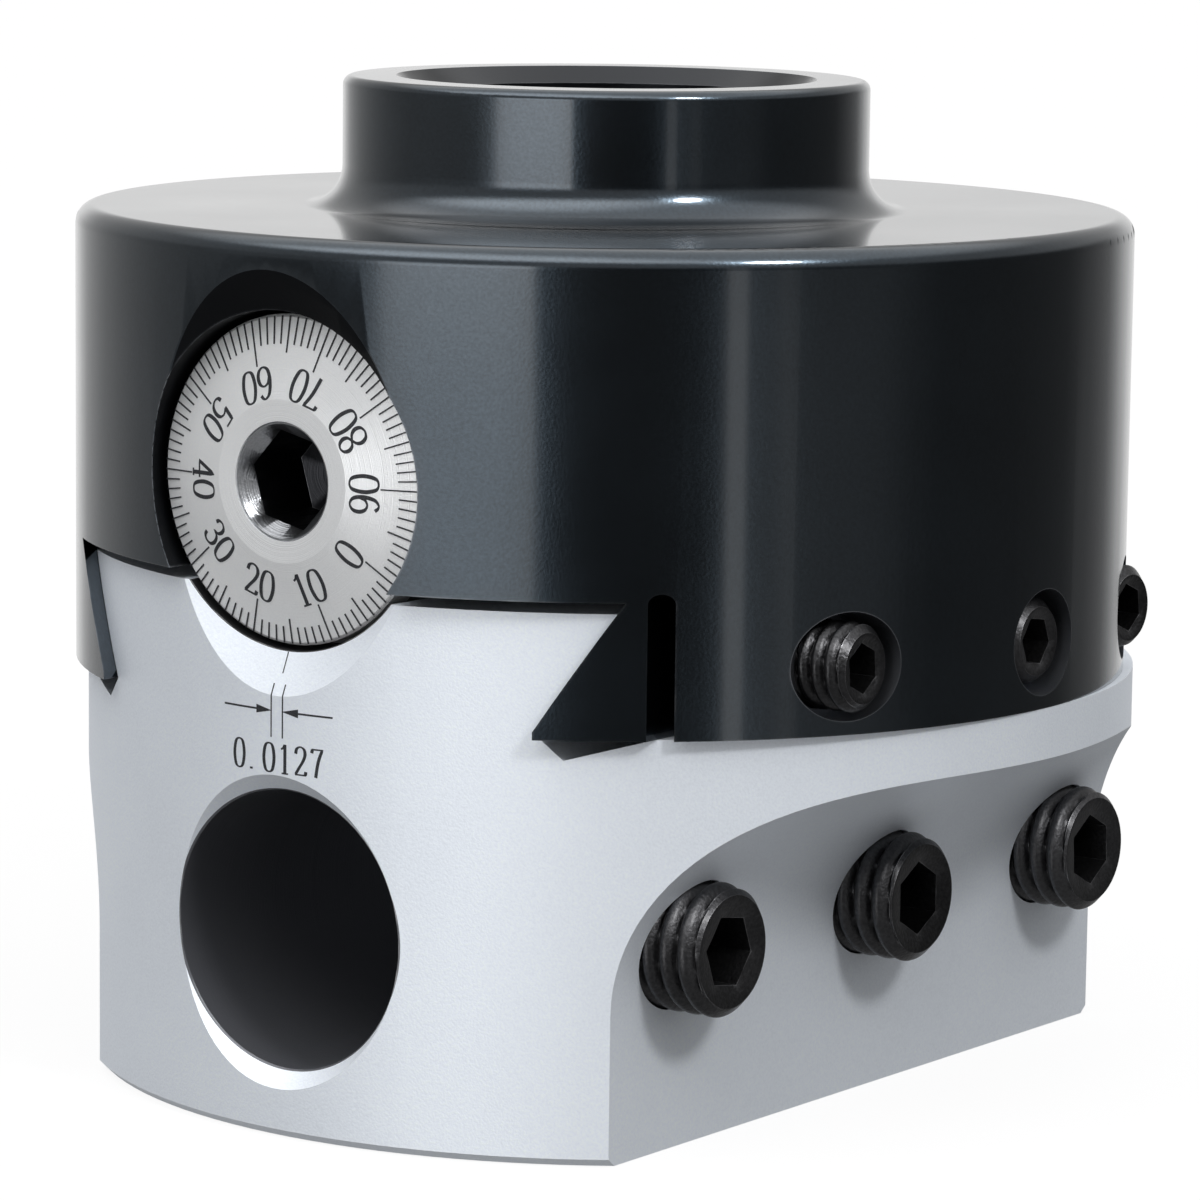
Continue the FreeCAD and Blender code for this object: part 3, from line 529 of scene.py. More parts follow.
FINISHES = (
    MetalFinish(
        name="black_oxide_body",
        colour=(0.041, 0.054, 0.067),
        roughness=0.22,
        worn_colour=(0.22, 0.23, 0.25),
        wear=0.55,
        wear_width=0.3,
        fineness=3500.0,
        cloud=0.25,
        mottle=0.35,
        bump=0.05,
        coat=0.9,
        coat_roughness=0.06,
        holes=BODY_PAINTED_SHADE_AND_LIGHT,
    ),
    MetalFinish(
        name="satin_slide",
        colour=(0.88, 0.93, 1.0),
        roughness=0.52,
        worn_colour=(0.95, 0.96, 0.98),
        wear=0.35,
        wear_width=0.25,
        fineness=4200.0,
        cloud=0.05,
        mottle=0.08,
        bump=0.1,
        metallic=0.5,
        holes=SLIDE_PAINTED_SHADE,
    ),
    MetalFinish(
        name="satin_dial",
        colour=(0.97, 0.985, 1.0),
        roughness=0.33,
        worn_colour=(0.95, 0.95, 0.97),
        wear=0.4,
        wear_width=0.15,
        fineness=6000.0,
        cloud=0.05,
        mottle=0.05,
        bump=0.15,
        lathe=3.0,
        metallic=0.5,
    ),
    MetalFinish(
        name="black_oxide_screws",
        colour=(0.055, 0.055, 0.058),
        roughness=0.42,
        worn_colour=(0.45, 0.45, 0.47),
        wear=0.7,
        wear_width=0.15,
        fineness=3000.0,
        cloud=0.6,
        mottle=0.6,
        bump=0.3,
        coat=0.2,
        coat_roughness=0.25,
    ),
    MetalFinish(
        name="dark_steel",
        colour=(0.42, 0.43, 0.45),
        roughness=0.3,
        worn_colour=(0.65, 0.66, 0.7),
        wear=0.5,
        wear_width=0.12,
        fineness=5000.0,
        cloud=0.3,
        mottle=0.3,
        bump=0.12,
        lathe=2.5,
        holes=SOCKET_PAINTED_SHADE,
    ),
    MetalFinish(
        name="ground_steel",
        colour=(0.60, 0.61, 0.63),
        roughness=0.3,
        worn_colour=(0.8, 0.8, 0.82),
        grain_stretch=(1.0, 1.0, 12.0),
        fineness=1500.0,
        cloud=0.08,
        mottle=0.1,
        bump=0.06,
    ),
    MetalFinish(
        name="bronze",
        colour=(0.60, 0.38, 0.16),
        roughness=0.36,
        worn_colour=(0.75, 0.52, 0.28),
        fineness=2500.0,
        cloud=0.2,
        mottle=0.1,
        bump=0.05,
    ),
)

NODE_FINISHES = {
    "body": "black_oxide_body",
    "slide": "satin_slide",
    "dial": "satin_dial",
    "screw_keeper": "ground_steel",
    "thrust_washer": "bronze",
    "lead_nut": "bronze",
}


class Workshop:
    """The finished materials and the ways to make a piece out of mesh lists."""

    def __init__(self) -> None:
        """Builds the shared effects and every finish."""
        effects = SharedEffects()
        self.materials = {finish.name: finish.build(effects) for finish in (*FINISHES, InkFinish())}
        self.thread_tree = build_thread_tree()
        self.tick_tree = build_tick_tree()

    def dress(self, piece: Piece, finish: str) -> None:
        """Gives an object one finish, in its own material slots."""
        piece.data.materials.clear()
        piece.data.materials.append(self.materials[finish])

    def mesh_piece(self, name: str, points: list, faces: list, finish: str) -> Piece:
        """Makes an object out of points in millimetres and faces.

        Args:
            name: the piece's name.
            points: the corners, in millimetres.
            faces: the corner numbers of each face.
            finish: the finish's name.

        Returns:
            The new object, at the origin.
        """
        mesh = bpy.data.meshes.new(name)
        mesh.from_pydata([[value * MM for value in point] for point in points], [], faces)
        mesh.update()
        piece = add_object(name, mesh)
        self.dress(piece, finish)
        return piece

    def settle(self, piece: Piece, crease: float) -> None:
        """Keeps the result of a piece's modifiers as its plain mesh, smooth up to an angle.

        Args:
            piece: the object.
            crease: the angle in degrees past which an edge stays sharp.
        """
        graph = bpy.context.evaluated_depsgraph_get()
        made = bpy.data.meshes.new_from_object(
            piece.evaluated_get(graph), preserve_all_data_layers=True, depsgraph=graph
        )
        made.name = piece.name
        piece.modifiers.clear()
        piece.data = made
        if not made.has_custom_normals:
            made.polygons.foreach_set("use_smooth", [True] * len(made.polygons))
            made.set_sharp_from_angle(angle=math.radians(crease))

    def grow(self, piece: Piece, tree: Tree, values: dict, crease: float) -> None:
        """Runs a Geometry Nodes tree on a piece and keeps the result as its plain mesh.

        Args:
            piece: the object that carries the fixed part of the shape.
            tree: the Geometry Nodes tree.
            values: the tree's inputs by name, with "Material" among them.
            crease: the angle in degrees past which an edge stays sharp.
        """
        modifier = piece.modifiers.new("grow", "NODES")
        modifier.node_group = tree
        sockets = {item.name: item.identifier for item in tree.interface.items_tree if item.in_out == "INPUT"}
        for name, value in values.items():
            modifier[sockets[name]] = value
        self.settle(piece, crease)


MESH_OUTPUT = (("Mesh", "NodeSocketGeometry"),)


def build_thread_tree() -> Tree:
    """Makes the Geometry Nodes tree of a right-hand screw thread.

    Returns:
        The tree: it adds the threaded length to the ends that it is given and welds them.
    """
    inputs = (
        *plain_inputs("Geometry", "Ends"),
        *plain_inputs("Int", "Columns", "Rows"),
        *plain_inputs("Float", "Length", "Major Radius", "Thread Depth", "Pitch"),
        *plain_inputs("Float", "Tail Radius", "Head Radius"),
        *plain_inputs("Material", "Material"),
    )
    tree, wiring, given = new_group("screw_thread", "GeometryNodeTree", inputs, MESH_OUTPUT)
    across = wiring.math("ADD", given["Columns"], 1.0)
    size = {"Size X": 1.0, "Size Y": 1.0, "Vertices X": across, "Vertices Y": given["Rows"]}
    grid = wiring.put("GeometryNodeMeshGrid", size)
    flat = wiring.put("ShaderNodeSeparateXYZ", {0: wiring.put("GeometryNodeInputPosition").outputs[0]})
    turn = wiring.math("ADD", flat.outputs["X"], 0.5)
    along = wiring.math("MULTIPLY", wiring.math("ADD", flat.outputs["Y"], 0.5), given["Length"])
    phase = wiring.math("FRACT", wiring.math("SUBTRACT", wiring.math("DIVIDE", along, given["Pitch"]), turn))
    swell = wiring.math("POWER", wiring.math("SINE", wiring.math("MULTIPLY", phase, math.pi)), 0.8)
    groove = wiring.math("MULTIPLY", wiring.math("SUBTRACT", 1.0, swell), given["Thread Depth"])
    thread = wiring.math("SUBTRACT", given["Major Radius"], groove)
    tail = wiring.math("ADD", given["Tail Radius"], along)
    head = wiring.math("ADD", given["Head Radius"], wiring.math("SUBTRACT", given["Length"], along))
    radius = wiring.math("MINIMUM", wiring.math("MINIMUM", thread, tail), head)
    place = wiring.around(radius, wiring.math("MULTIPLY", turn, math.tau), along)
    sleeve = wiring.put("GeometryNodeSetPosition", {"Geometry": grid.outputs["Mesh"], "Position": place})
    joined = wiring.put("GeometryNodeJoinGeometry")
    for part in (sleeve.outputs[0], given["Ends"]):
        tree.links.new(part, joined.inputs[0])
    welded = wiring.put("GeometryNodeMergeByDistance", {"Geometry": joined.outputs[0], "Distance": 2e-6})
    wiring.give_mesh(welded.outputs[0], given["Material"])
    return tree


def build_tick_tree() -> Tree:
    """Makes the Geometry Nodes tree of the dial's ring of graduation lines.

    Returns:
        The tree: a line on a cone for each division, longer at every fifth and tenth.
    """
    inputs = (
        *plain_inputs("Geometry", "Start"),
        *plain_inputs("Int", "Divisions"),
        *plain_inputs("Float", "Rim Radius", "Short Line", "Fifth Line", "Tenth Line", "Line Width",
                      "Line Height", "Cone Slope", "First Angle", "Shift Right", "Shift Up"),
        *plain_inputs("Material", "Material"),
    )
    tree, wiring, given = new_group("dial_lines", "GeometryNodeTree", inputs, MESH_OUTPUT)
    points = wiring.put("GeometryNodePoints", {"Count": given["Divisions"]})
    number = wiring.put("GeometryNodeInputIndex").outputs[0]
    length = given["Short Line"]
    for every, line, shorter in ((5.0, "Fifth Line", "Short Line"), (10.0, "Tenth Line", "Fifth Line")):
        on_line = wiring.math("COMPARE", wiring.math("MODULO", number, every), 0.0, 0.1)
        longer = wiring.math("MULTIPLY", on_line, wiring.math("SUBTRACT", given[line], given[shorter]))
        length = wiring.math("ADD", length, longer)
    step = wiring.math("DIVIDE", math.tau, given["Divisions"])
    angle = wiring.math("SUBTRACT", given["First Angle"], wiring.math("MULTIPLY", number, step))
    for shift, share in (("Shift Right", "COSINE"), ("Shift Up", "SINE")):
        moved = wiring.math("MULTIPLY", given[shift], wiring.math(share, angle))
        length = wiring.math("SUBTRACT", length, moved)
    middle = wiring.math("SUBTRACT", given["Rim Radius"], wiring.math("MULTIPLY", length, 0.5))
    drop = wiring.math("SUBTRACT", given["Rim Radius"], middle)
    place = wiring.around(middle, angle, wiring.math("MULTIPLY", drop, given["Cone Slope"]))
    placed = wiring.put("GeometryNodeSetPosition", {"Geometry": points.outputs[0], "Position": place})
    bar = wiring.put("GeometryNodeMeshCube", {"Size": (1.0, 1.0, 1.0)})
    tilt = wiring.math("ARCTANGENT", given["Cone Slope"])
    turned = wiring.put("ShaderNodeCombineXYZ", {"X": 0.0, "Y": tilt, "Z": angle})
    rotation = wiring.put("FunctionNodeEulerToRotation", {0: turned.outputs[0]})
    stretch = {
        "X": wiring.math("DIVIDE", length, wiring.math("COSINE", tilt)),
        "Y": given["Line Width"],
        "Z": given["Line Height"],
    }
    bars = {
        "Points": placed.outputs[0],
        "Instance": bar.outputs["Mesh"],
        "Rotation": rotation.outputs[0],
        "Scale": wiring.put("ShaderNodeCombineXYZ", stretch).outputs[0],
    }
    laid = wiring.put("GeometryNodeInstanceOnPoints", bars)
    wiring.give_mesh(laid.outputs[0], given["Material"])
    return tree


def aim_matrix(aim: Aim, place: Triple, turn: float) -> Matrix:
    """Finds the placing of a piece that was built along +Z from its tail.

    Args:
        aim: which way its head points.
        place: where its tail is, in millimetres.
        turn: the turn about its own axis, in degrees.

    Returns:
        The placing, in metres.
    """
    swing = {
        Aim.RIGHT: Matrix.Rotation(math.radians(90.0), 4, "Y"),
        Aim.DIAL_SIDE: Matrix.Rotation(math.radians(90.0), 4, "X"),
        Aim.UP: Matrix.Identity(4),
    }[aim]
    spin = Matrix.Rotation(math.radians(turn), 4, "Z")
    return Matrix.Translation(Vector(place) * MM) @ swing @ spin


@dataclass(kw_only=True)
class ThreadedPiece:
    """A screw with a hexagon socket, built along +Z from its tail."""

    node: str
    body: str
    place: Triple
    length: float
    radius: float
    pitch: float
    depth: float
    head_radius: float
    tail_radius: float
    key: float = 0.0
    key_depth: float = 0.0
    slot: str = "black_oxide_screws"
    aim: Aim = Aim.RIGHT
    turn: float = 0.0
    cup_land: float = 0.8
    cup_depth: float = 0.6
    shank: float = 0.0
    shank_edge: float = 0.1
    dish: float = 0.3
    dish_edge: float = 0.25
    socket_edge: float = 0.15
    socket_edge_depth: float = 0.12
    drill_point: float = 0.2
    mouth_radius: float = 0.0
    mouth_depth: float = 0.0
    columns: int = 72
    rows_per_turn: int = 12
    crease: float = 38.0

    def rings(self) -> list[list[tuple[str, float, float]]]:
        """Lists the rings of both ends.

        Returns:
            For each end, the shape, radius and height of each ring from the thread to the middle.
        """
        top = self.length + self.shank
        face = top - self.dish
        floor = top - self.key_depth
        head = [("round", self.head_radius, self.length)]
        if self.shank:
            head.append(("round", self.head_radius, top - self.shank_edge))
            head.append(("round", self.head_radius - self.shank_edge, top))
        if self.mouth_radius:
            head.append(("round", self.mouth_radius, top))
            head.append(("hexagon", self.key / 2.0, top - self.mouth_depth))
        else:
            head.append(("round", self.head_radius - self.dish_edge, top))
            head.append(("round", self.key / math.sqrt(3.0) + self.socket_edge, face))
            head.append(("hexagon", self.key / 2.0, face - self.socket_edge_depth))
        head.append(("hexagon", self.key / 2.0, floor))
        head.append(("middle", 0.0, floor - self.drill_point * self.key))
        tail = [
            ("round", self.tail_radius, 0.0),
            ("round", self.tail_radius - self.cup_land, 0.0),
            ("middle", 0.0, self.cup_depth),
        ]
        return [head, tail]

    def ends(self) -> tuple[list, list]:
        """Makes the mesh lists of both ends.

        Returns:
            The points in millimetres and the faces.
        """
        points: list[Triple] = []
        faces: list[tuple[int, ...]] = []
        for end, rings in enumerate(self.rings()):
            before = None
            for shape, radius, height in rings:
                start = len(points)
                if shape == "middle":
                    points.append((0.0, 0.0, height))
                    ring = [start] * self.columns
                else:
                    for column in range(self.columns):
                        angle = math.tau * column / self.columns
                        reach = radius
                        if shape == "hexagon":
                            reach = radius / math.cos(angle % math.radians(60.0) - math.radians(30.0))
                        points.append((reach * math.cos(angle), reach * math.sin(angle), height))
                    ring = list(range(start, start + self.columns))
                if before:
                    for column in range(self.columns):
                        after = (column + 1) % self.columns
                        corners = [before[column], before[after], ring[after], ring[column]]
                        if shape == "middle":
                            corners.pop()
                        faces.append(tuple(corners if end == 0 else reversed(corners)))
                before = ring
        return points, faces

    def shape(self, workshop: Workshop, name: str) -> Piece:
        """Builds the threaded shape in its place.

        Args:
            workshop: the finishes and trees.
            name: the piece's name.

        Returns:
            The new piece, which rides on nothing yet.
        """
        piece = workshop.mesh_piece(name, *self.ends(), self.slot)
        values = {
            "Columns": self.columns,
            "Rows": int(self.length / self.pitch * self.rows_per_turn) + 1,
            "Length": self.length * MM,
            "Major Radius": self.radius * MM,
            "Thread Depth": self.depth * MM,
            "Pitch": self.pitch * MM,
            "Tail Radius": self.tail_radius * MM,
            "Head Radius": self.head_radius * MM,
            "Material": workshop.materials[self.slot],
        }
        workshop.grow(piece, workshop.thread_tree, values, self.crease)
        piece.data.transform(aim_matrix(self.aim, self.place, self.turn))
        return piece

    def make(self, workshop: Workshop) -> Piece:
        """Builds the piece and puts it in its node's place.

        Args:
            workshop: the finishes and trees.

        Returns:
            The finished piece.
        """
        piece = self.shape(workshop, f"{self.node}_threaded")
        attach(piece, self.body)
        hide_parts(self.node)
        return piece


@dataclass(kw_only=True)
class GibScrew(ThreadedPiece):
    """A 5/16 inch screw in the body's side, with its tip on the gib."""

    radius: float = 4.0
    pitch: float = 1.411
    depth: float = 0.7
    head_radius: float = 3.15
    tail_radius: float = 2.4
    key: float = 4.0
    key_depth: float = 4.2
    dish: float = 0.2


@dataclass(kw_only=True)
class ClampScrew(ThreadedPiece):
    """A 1/2 inch screw in the slide's side, with its tip at a boring bar's bore."""

    radius: float = 6.0
    pitch: float = 1.954
    depth: float = 1.05
    head_radius: float = 5.1
    tail_radius: float = 4.4
    key: float = 6.0
    key_depth: float = 6.6


@dataclass(kw_only=True)
class NutLockScrew(ThreadedPiece):
    """The small screw in the arbor bore's floor, which holds the nut."""

    node: str = "nut_lock_screw"
    body: str = "head"
    aim: Aim = Aim.UP
    place: Triple = (0.0, -12.0, -26.15)
    length: float = 3.6
    radius: float = 2.5
    pitch: float = 0.8
    depth: float = 0.36
    head_radius: float = 1.6
    tail_radius: float = 0.9
    key: float = 2.5
    key_depth: float = 1.8
    cup_land: float = 0.4
    cup_depth: float = 0.2
    dish: float = 0.12
    columns: int = 48


@dataclass(kw_only=True)
class Leadscrew(ThreadedPiece):
    """The dial screw: a fine thread, a plain neck and a socket head with a round mouth."""

    node: str = "leadscrew"
    body: str = "dial_screw"
    slot: str = "dark_steel"
    aim: Aim = Aim.DIAL_SIDE
    radius: float = 6.35
    pitch: float = 1.27
    depth: float = 0.7
    head_radius: float = 5.34
    tail_radius: float = 5.3
    key: float = 8.0
    key_depth: float = 8.0
    mouth_radius: float = 5.14
    mouth_depth: float = 1.3
    turn: float = 47.0
    cup_land: float = 1.2
    cup_depth: float = 0.3
    rows_per_turn: int = 10


@dataclass(kw_only=True)
class ArborThread(ThreadedPiece):
    """The ridges of the thread in the arbor bore, on a closed sleeve that is sunk in the bore's wall.

    Its radii are negative: the tree's outward crests then point in to the axis.
    """

    node: str = "body"
    body: str = "head"
    slot: str = "black_oxide_body"
    aim: Aim = Aim.UP
    place: Triple = (0.0, 0.0, -18.3)
    length: float = 14.5
    radius: float = -17.62
    pitch: float = 1.411
    depth: float = 0.7
    head_radius: float = -18.32
    tail_radius: float = -18.32
    back_radius: float = -18.8
    columns: int = 96
    rows_per_turn: int = 8

    def rings(self) -> list[list[tuple[str, float, float]]]:
        """Lists the rings of the sleeve's back, from the thread's upper end round to its lower end.

        Returns:
            One run of rings, because the sleeve has no middle.
        """
        return [[
            ("round", self.head_radius, self.length),
            ("round", self.back_radius, self.length),
            ("round", self.back_radius, 0.0),
            ("round", self.tail_radius, 0.0),
        ]]

    def make(self, workshop: Workshop) -> Piece:
        """Builds the sleeve and lets it ride on the head.

        Args:
            workshop: the finishes and trees.

        Returns:
            The finished piece.
        """
        piece = self.shape(workshop, "arbor_thread")
        piece.data.flip_normals()
        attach(piece, self.body)
        return piece


def threaded_pieces() -> list[ThreadedPiece]:
    """Lists every threaded piece of the head in its place.

    Returns:
        The gib screws, the clamp screws, the nut's lock screw, the leadscrew and the arbor's thread.
    """
    pieces: list[ThreadedPiece] = []
    tip = 32.95
    for label, y, face, turn in (
        ("gib_screw_front", -GIB_SPACING, 46.0, 5.0),
        ("gib_lock_screw", 0.0, 49.3, 22.0),
        ("gib_screw_rear", GIB_SPACING, 45.0, 8.0),
    ):
        pieces.append(GibScrew(node=label, body=label, place=(tip, y, GIB_Z), length=face - tip, turn=turn))
    tip = 12.9
    for label, y, turn in (
        ("tool_screw_front", -TOOL_SPACING, 21.0),
        ("tool_screw_center", 0.0, 0.0),
        ("tool_screw_rear", TOOL_SPACING, 3.0),
    ):
        place = (tip, y + SLIDE_SHIFT, TOOL_Z)
        pieces.append(ClampScrew(node=label, body=label, place=place, length=36.2 - tip, turn=turn))
    pieces.append(NutLockScrew())
    low, high = [[value / MM for value in corner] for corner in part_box("leadscrew")]
    thread_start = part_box("screw_keeper")[1][1] / MM + END_PLAY
    pieces.append(Leadscrew(
        place=(0.0, high[1], DIAL_Z), length=high[1] - thread_start, shank=thread_start - low[1]
    ))
    pieces.append(ArborThread())
    return pieces


# Pen paths of the digits in a cell one high: each path is smooth, except at a doubled point
DIGIT_PATHS = {
    "0": [[(0.25, 1.0), (0.09, 0.9), (0.02, 0.5), (0.09, 0.1), (0.25, 0.0), (0.41, 0.1), (0.48, 0.5),
           (0.41, 0.9), (0.25, 1.0)]],
    "1": [[(0.1, 0.84), (0.2, 0.89), (0.27, 1.0), (0.27, 1.0), (0.27, 0.0)], [(0.13, 0.0), (0.41, 0.0)]],
    "2": [[(0.05, 0.75), (0.09, 0.92), (0.24, 1.0), (0.4, 0.92), (0.44, 0.74), (0.36, 0.52), (0.18, 0.25),
           (0.04, 0.03), (0.04, 0.03), (0.46, 0.03), (0.46, 0.03), (0.48, 0.16)]],
    "3": [[(0.05, 0.8), (0.1, 0.94), (0.24, 1.0), (0.38, 0.93), (0.42, 0.77), (0.35, 0.6), (0.2, 0.54),
           (0.2, 0.54), (0.38, 0.48), (0.46, 0.28), (0.4, 0.08), (0.22, 0.0), (0.08, 0.06), (0.03, 0.2)]],
    "4": [[(0.36, 0.0), (0.36, 1.0), (0.36, 1.0), (0.02, 0.3), (0.02, 0.3), (0.5, 0.3)],
          [(0.25, 0.0), (0.47, 0.0)]],
    "5": [[(0.42, 0.98), (0.11, 0.98), (0.11, 0.98), (0.07, 0.52), (0.07, 0.52), (0.24, 0.61), (0.4, 0.53),
           (0.46, 0.32), (0.4, 0.1), (0.23, 0.0), (0.08, 0.06), (0.04, 0.2)]],
    "6": [[(0.42, 0.86), (0.34, 0.97), (0.24, 0.99), (0.1, 0.84), (0.03, 0.45), (0.08, 0.12), (0.25, 0.0),
           (0.41, 0.1), (0.46, 0.32), (0.4, 0.52), (0.26, 0.6), (0.11, 0.52), (0.04, 0.36)]],
    "7": [[(0.03, 0.84), (0.06, 0.97), (0.06, 0.97), (0.46, 0.97), (0.46, 0.97), (0.3, 0.55), (0.2, 0.0)]],
    "8": [[(0.25, 0.53), (0.11, 0.62), (0.06, 0.78), (0.12, 0.94), (0.25, 1.0), (0.38, 0.94), (0.44, 0.78),
           (0.39, 0.62), (0.25, 0.53), (0.09, 0.42), (0.03, 0.25), (0.09, 0.07), (0.25, 0.0), (0.41, 0.07),
           (0.47, 0.25), (0.41, 0.42), (0.25, 0.53)]],
    "9": [[(0.08, 0.14), (0.16, 0.03), (0.26, 0.01), (0.4, 0.16), (0.47, 0.55), (0.42, 0.88), (0.25, 1.0),
           (0.09, 0.9), (0.04, 0.68), (0.1, 0.48), (0.24, 0.4), (0.39, 0.48), (0.46, 0.64)]],
    ".": [[(0.13, 0.0), (0.13, 0.07)]],
}


def smooth_path(points: list[Pair], steps: int) -> list[Pair]:
    """Rounds a pen path between its points, keeping a corner at each doubled point.

    Args:
        points: the path's points.
        steps: the parts that each span is divided into.

    Returns:
        The finer path.
    """
    runs: list[list[Pair]] = [[]]
    for point in points:
        if runs[-1] and runs[-1][-1] == point:
            runs.append([])
        runs[-1].append(point)
    fine: list[Pair] = []
    for run in runs:
        closed = run[0] == run[-1] and len(run) > 2
        first = run[-2] if closed else run[0]
        last = run[1] if closed else run[-1]
        ends = [first, *run, last]
        for index in range(1, len(ends) - 2):
            a, b, c, d = ends[index - 1:index + 3]
            for step in range(steps):
                t = step / steps
                fine.append(tuple(
                    0.5 * (2.0 * q + (r - p) * t + (2.0 * p - 5.0 * q + 4.0 * r - s) * t ** 2
                           + (3.0 * q - p - 3.0 * r + s) * t ** 3)
                    for p, q, r, s in zip(a, b, c, d)
                ))
        fine.append(run[-1])
    return fine[:1] + [point for before, point in zip(fine, fine[1:]) if math.dist(before, point) > 1e-6]


@dataclass
class Pen:
    """Draws engraved marks as thin closed bars laid on a surface."""

    thick: float
    thin: float
    proud: float = 0.02
    sunk: float = 0.05

    def __post_init__(self) -> None:
        """Starts with no marks."""
        self.points: list[Triple] = []
        self.faces: list[tuple[int, ...]] = []

    def stroke(self, path: list[Pair], lay: object, widths: list[float] | None = None) -> None:
        """Adds one bar along a path.

        Args:
            path: the bar's middle line, on the flat drawing.
            lay: a function from a place on the drawing and a height to a point on the surface.
            widths: the bar's width at each point, or nothing for the pen's own.
        """
        start = len(self.points)
        for index, (u, v) in enumerate(path):
            before = path[max(index - 1, 0)]
            after = path[min(index + 1, len(path) - 1)]
            run, rise = after[0] - before[0], after[1] - before[1]
            length = math.hypot(run, rise) or 1.0
            upright = abs(rise) / length
            width = widths[index] if widths else self.thin + (self.thick - self.thin) * upright ** 2
            across = (-rise / length * width / 2.0, run / length * width / 2.0)
            for side in (1.0, -1.0):
                for height in (self.proud, -self.sunk):
                    self.points.append(lay(u + across[0] * side, v + across[1] * side, height))
        for index in range(len(path) - 1):
            a = start + 4 * index
            for first, second in ((0, 2), (2, 3), (3, 1), (1, 0)):
                self.faces.append((a + first, a + second, a + second + 4, a + first + 4))
        last = start + 4 * (len(path) - 1)
        self.faces.append((start, start + 1, start + 3, start + 2))
        self.faces.append((last, last + 2, last + 3, last + 1))

    def write(self, text: str, height: float, lay: object, spacing: float = 0.62, slim: float = 1.0) -> None:
        """Draws a number centred on the drawing's origin.

        Args:
            text: the digits.
            height: the digits' height.
            lay: a function from a place on the drawing and a height to a point on the surface.
            spacing: from one digit to the next, as a share of the height.
            slim: the digits' width against their drawn width.
        """
        span = spacing * height
        for index, digit in enumerate(text):
            middle = (index - (len(text) - 1) / 2.0) * span
            for path in DIGIT_PATHS[digit]:
                fine = smooth_path(path, 5)
                self.stroke([((u - 0.25) * height * slim + middle, (v - 0.5) * height) for u, v in fine], lay)


@dataclass
class Dial:
    """The graduated dial, with its marks, on the leadscrew."""

    flat_y: float = -49.45 + SLIDE_SHIFT
    flat_radius: float = 7.3
    rim_radius: float = 14.75
    crown: float = 1.4
    divisions: int = 100
    at_index: float = 15.2
    digit_height: float = 2.85
    digit_radius: float = 9.25
    short_line: float = 2.0
    fifth_line: float = 2.75
    tenth_line: float = 3.75
    line_width: float = 0.13
    line_height: float = 0.08
    rim_margin: float = 0.12
    engraved_x: float = -0.15
    engraved_up: float = -0.5

    @property
    def slope(self) -> float:
        """The cone's fall for each millimetre outwards."""
        return self.crown / (self.rim_radius - self.flat_radius)

    def angle_of(self, number: float) -> float:
        """The angle of a graduation, seen from the front, in radians."""
        return math.radians(270.0 - (number - self.at_index) * 360.0 / self.divisions)

    def surface(self, x: float, up: float, height: float) -> Triple:
        """Puts a place on the dial's face into space.

        Args:
            x: to the right of the dial's axis.
            up: above the dial's axis.
            height: out of the face.

        Returns:
            The point in millimetres.
        """
        radius = math.hypot(x, up)
        fall = max(radius - self.flat_radius, 0.0) * self.slope
        return (x, self.flat_y + fall - height, DIAL_Z + up)

    def make(self, workshop: Workshop) -> list[Piece]:
        """Builds the graduation lines and the numbers.

        Args:
            workshop: the finishes and trees.

        Returns:
            The finished pieces.
        """
        lines = workshop.mesh_piece("dial_lines", [], [], "mark_black")
        values = {
            "Divisions": self.divisions,
            "Rim Radius": (self.rim_radius - self.rim_margin) * MM,
            "Short Line": self.short_line * MM,
            "Fifth Line": self.fifth_line * MM,
            "Tenth Line": self.tenth_line * MM,
            "Line Width": self.line_width * MM,
            "Line Height": self.line_height * MM,
            "Cone Slope": self.slope,
            "First Angle": self.angle_of(0.0),
            "Shift Right": self.engraved_x * MM,
            "Shift Up": self.engraved_up * MM,
            "Material": workshop.materials["mark_black"],
        }
        workshop.grow(lines, workshop.tick_tree, values, 20.0)
        rim_y = self.flat_y + self.crown - self.rim_margin * self.slope
        lines.data.transform(aim_matrix(Aim.DIAL_SIDE, (0.0, rim_y, DIAL_Z), 0.0))
        pen = Pen(thick=0.36, thin=0.17)
        for number in range(0, self.divisions, 10):
            angle = self.angle_of(number)
            inward = (-math.cos(angle), -math.sin(angle))
            along = (inward[1], -inward[0])

            def lay(u: float, v: float, height: float) -> Triple:
                """Lays a digit's point on the cone."""
                x = self.engraved_x - inward[0] * self.digit_radius + along[0] * u + inward[0] * v
                up = self.engraved_up - inward[1] * self.digit_radius + along[1] * u + inward[1] * v
                return self.surface(x, up, height)

            pen.write(str(number), self.digit_height, lay, spacing=0.64, slim=1.08)
        numbers = workshop.mesh_piece("dial_numbers", pen.points, pen.faces, "mark_black")
        for piece in (lines, numbers):
            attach(piece, "dial_screw")
        return [lines, numbers]


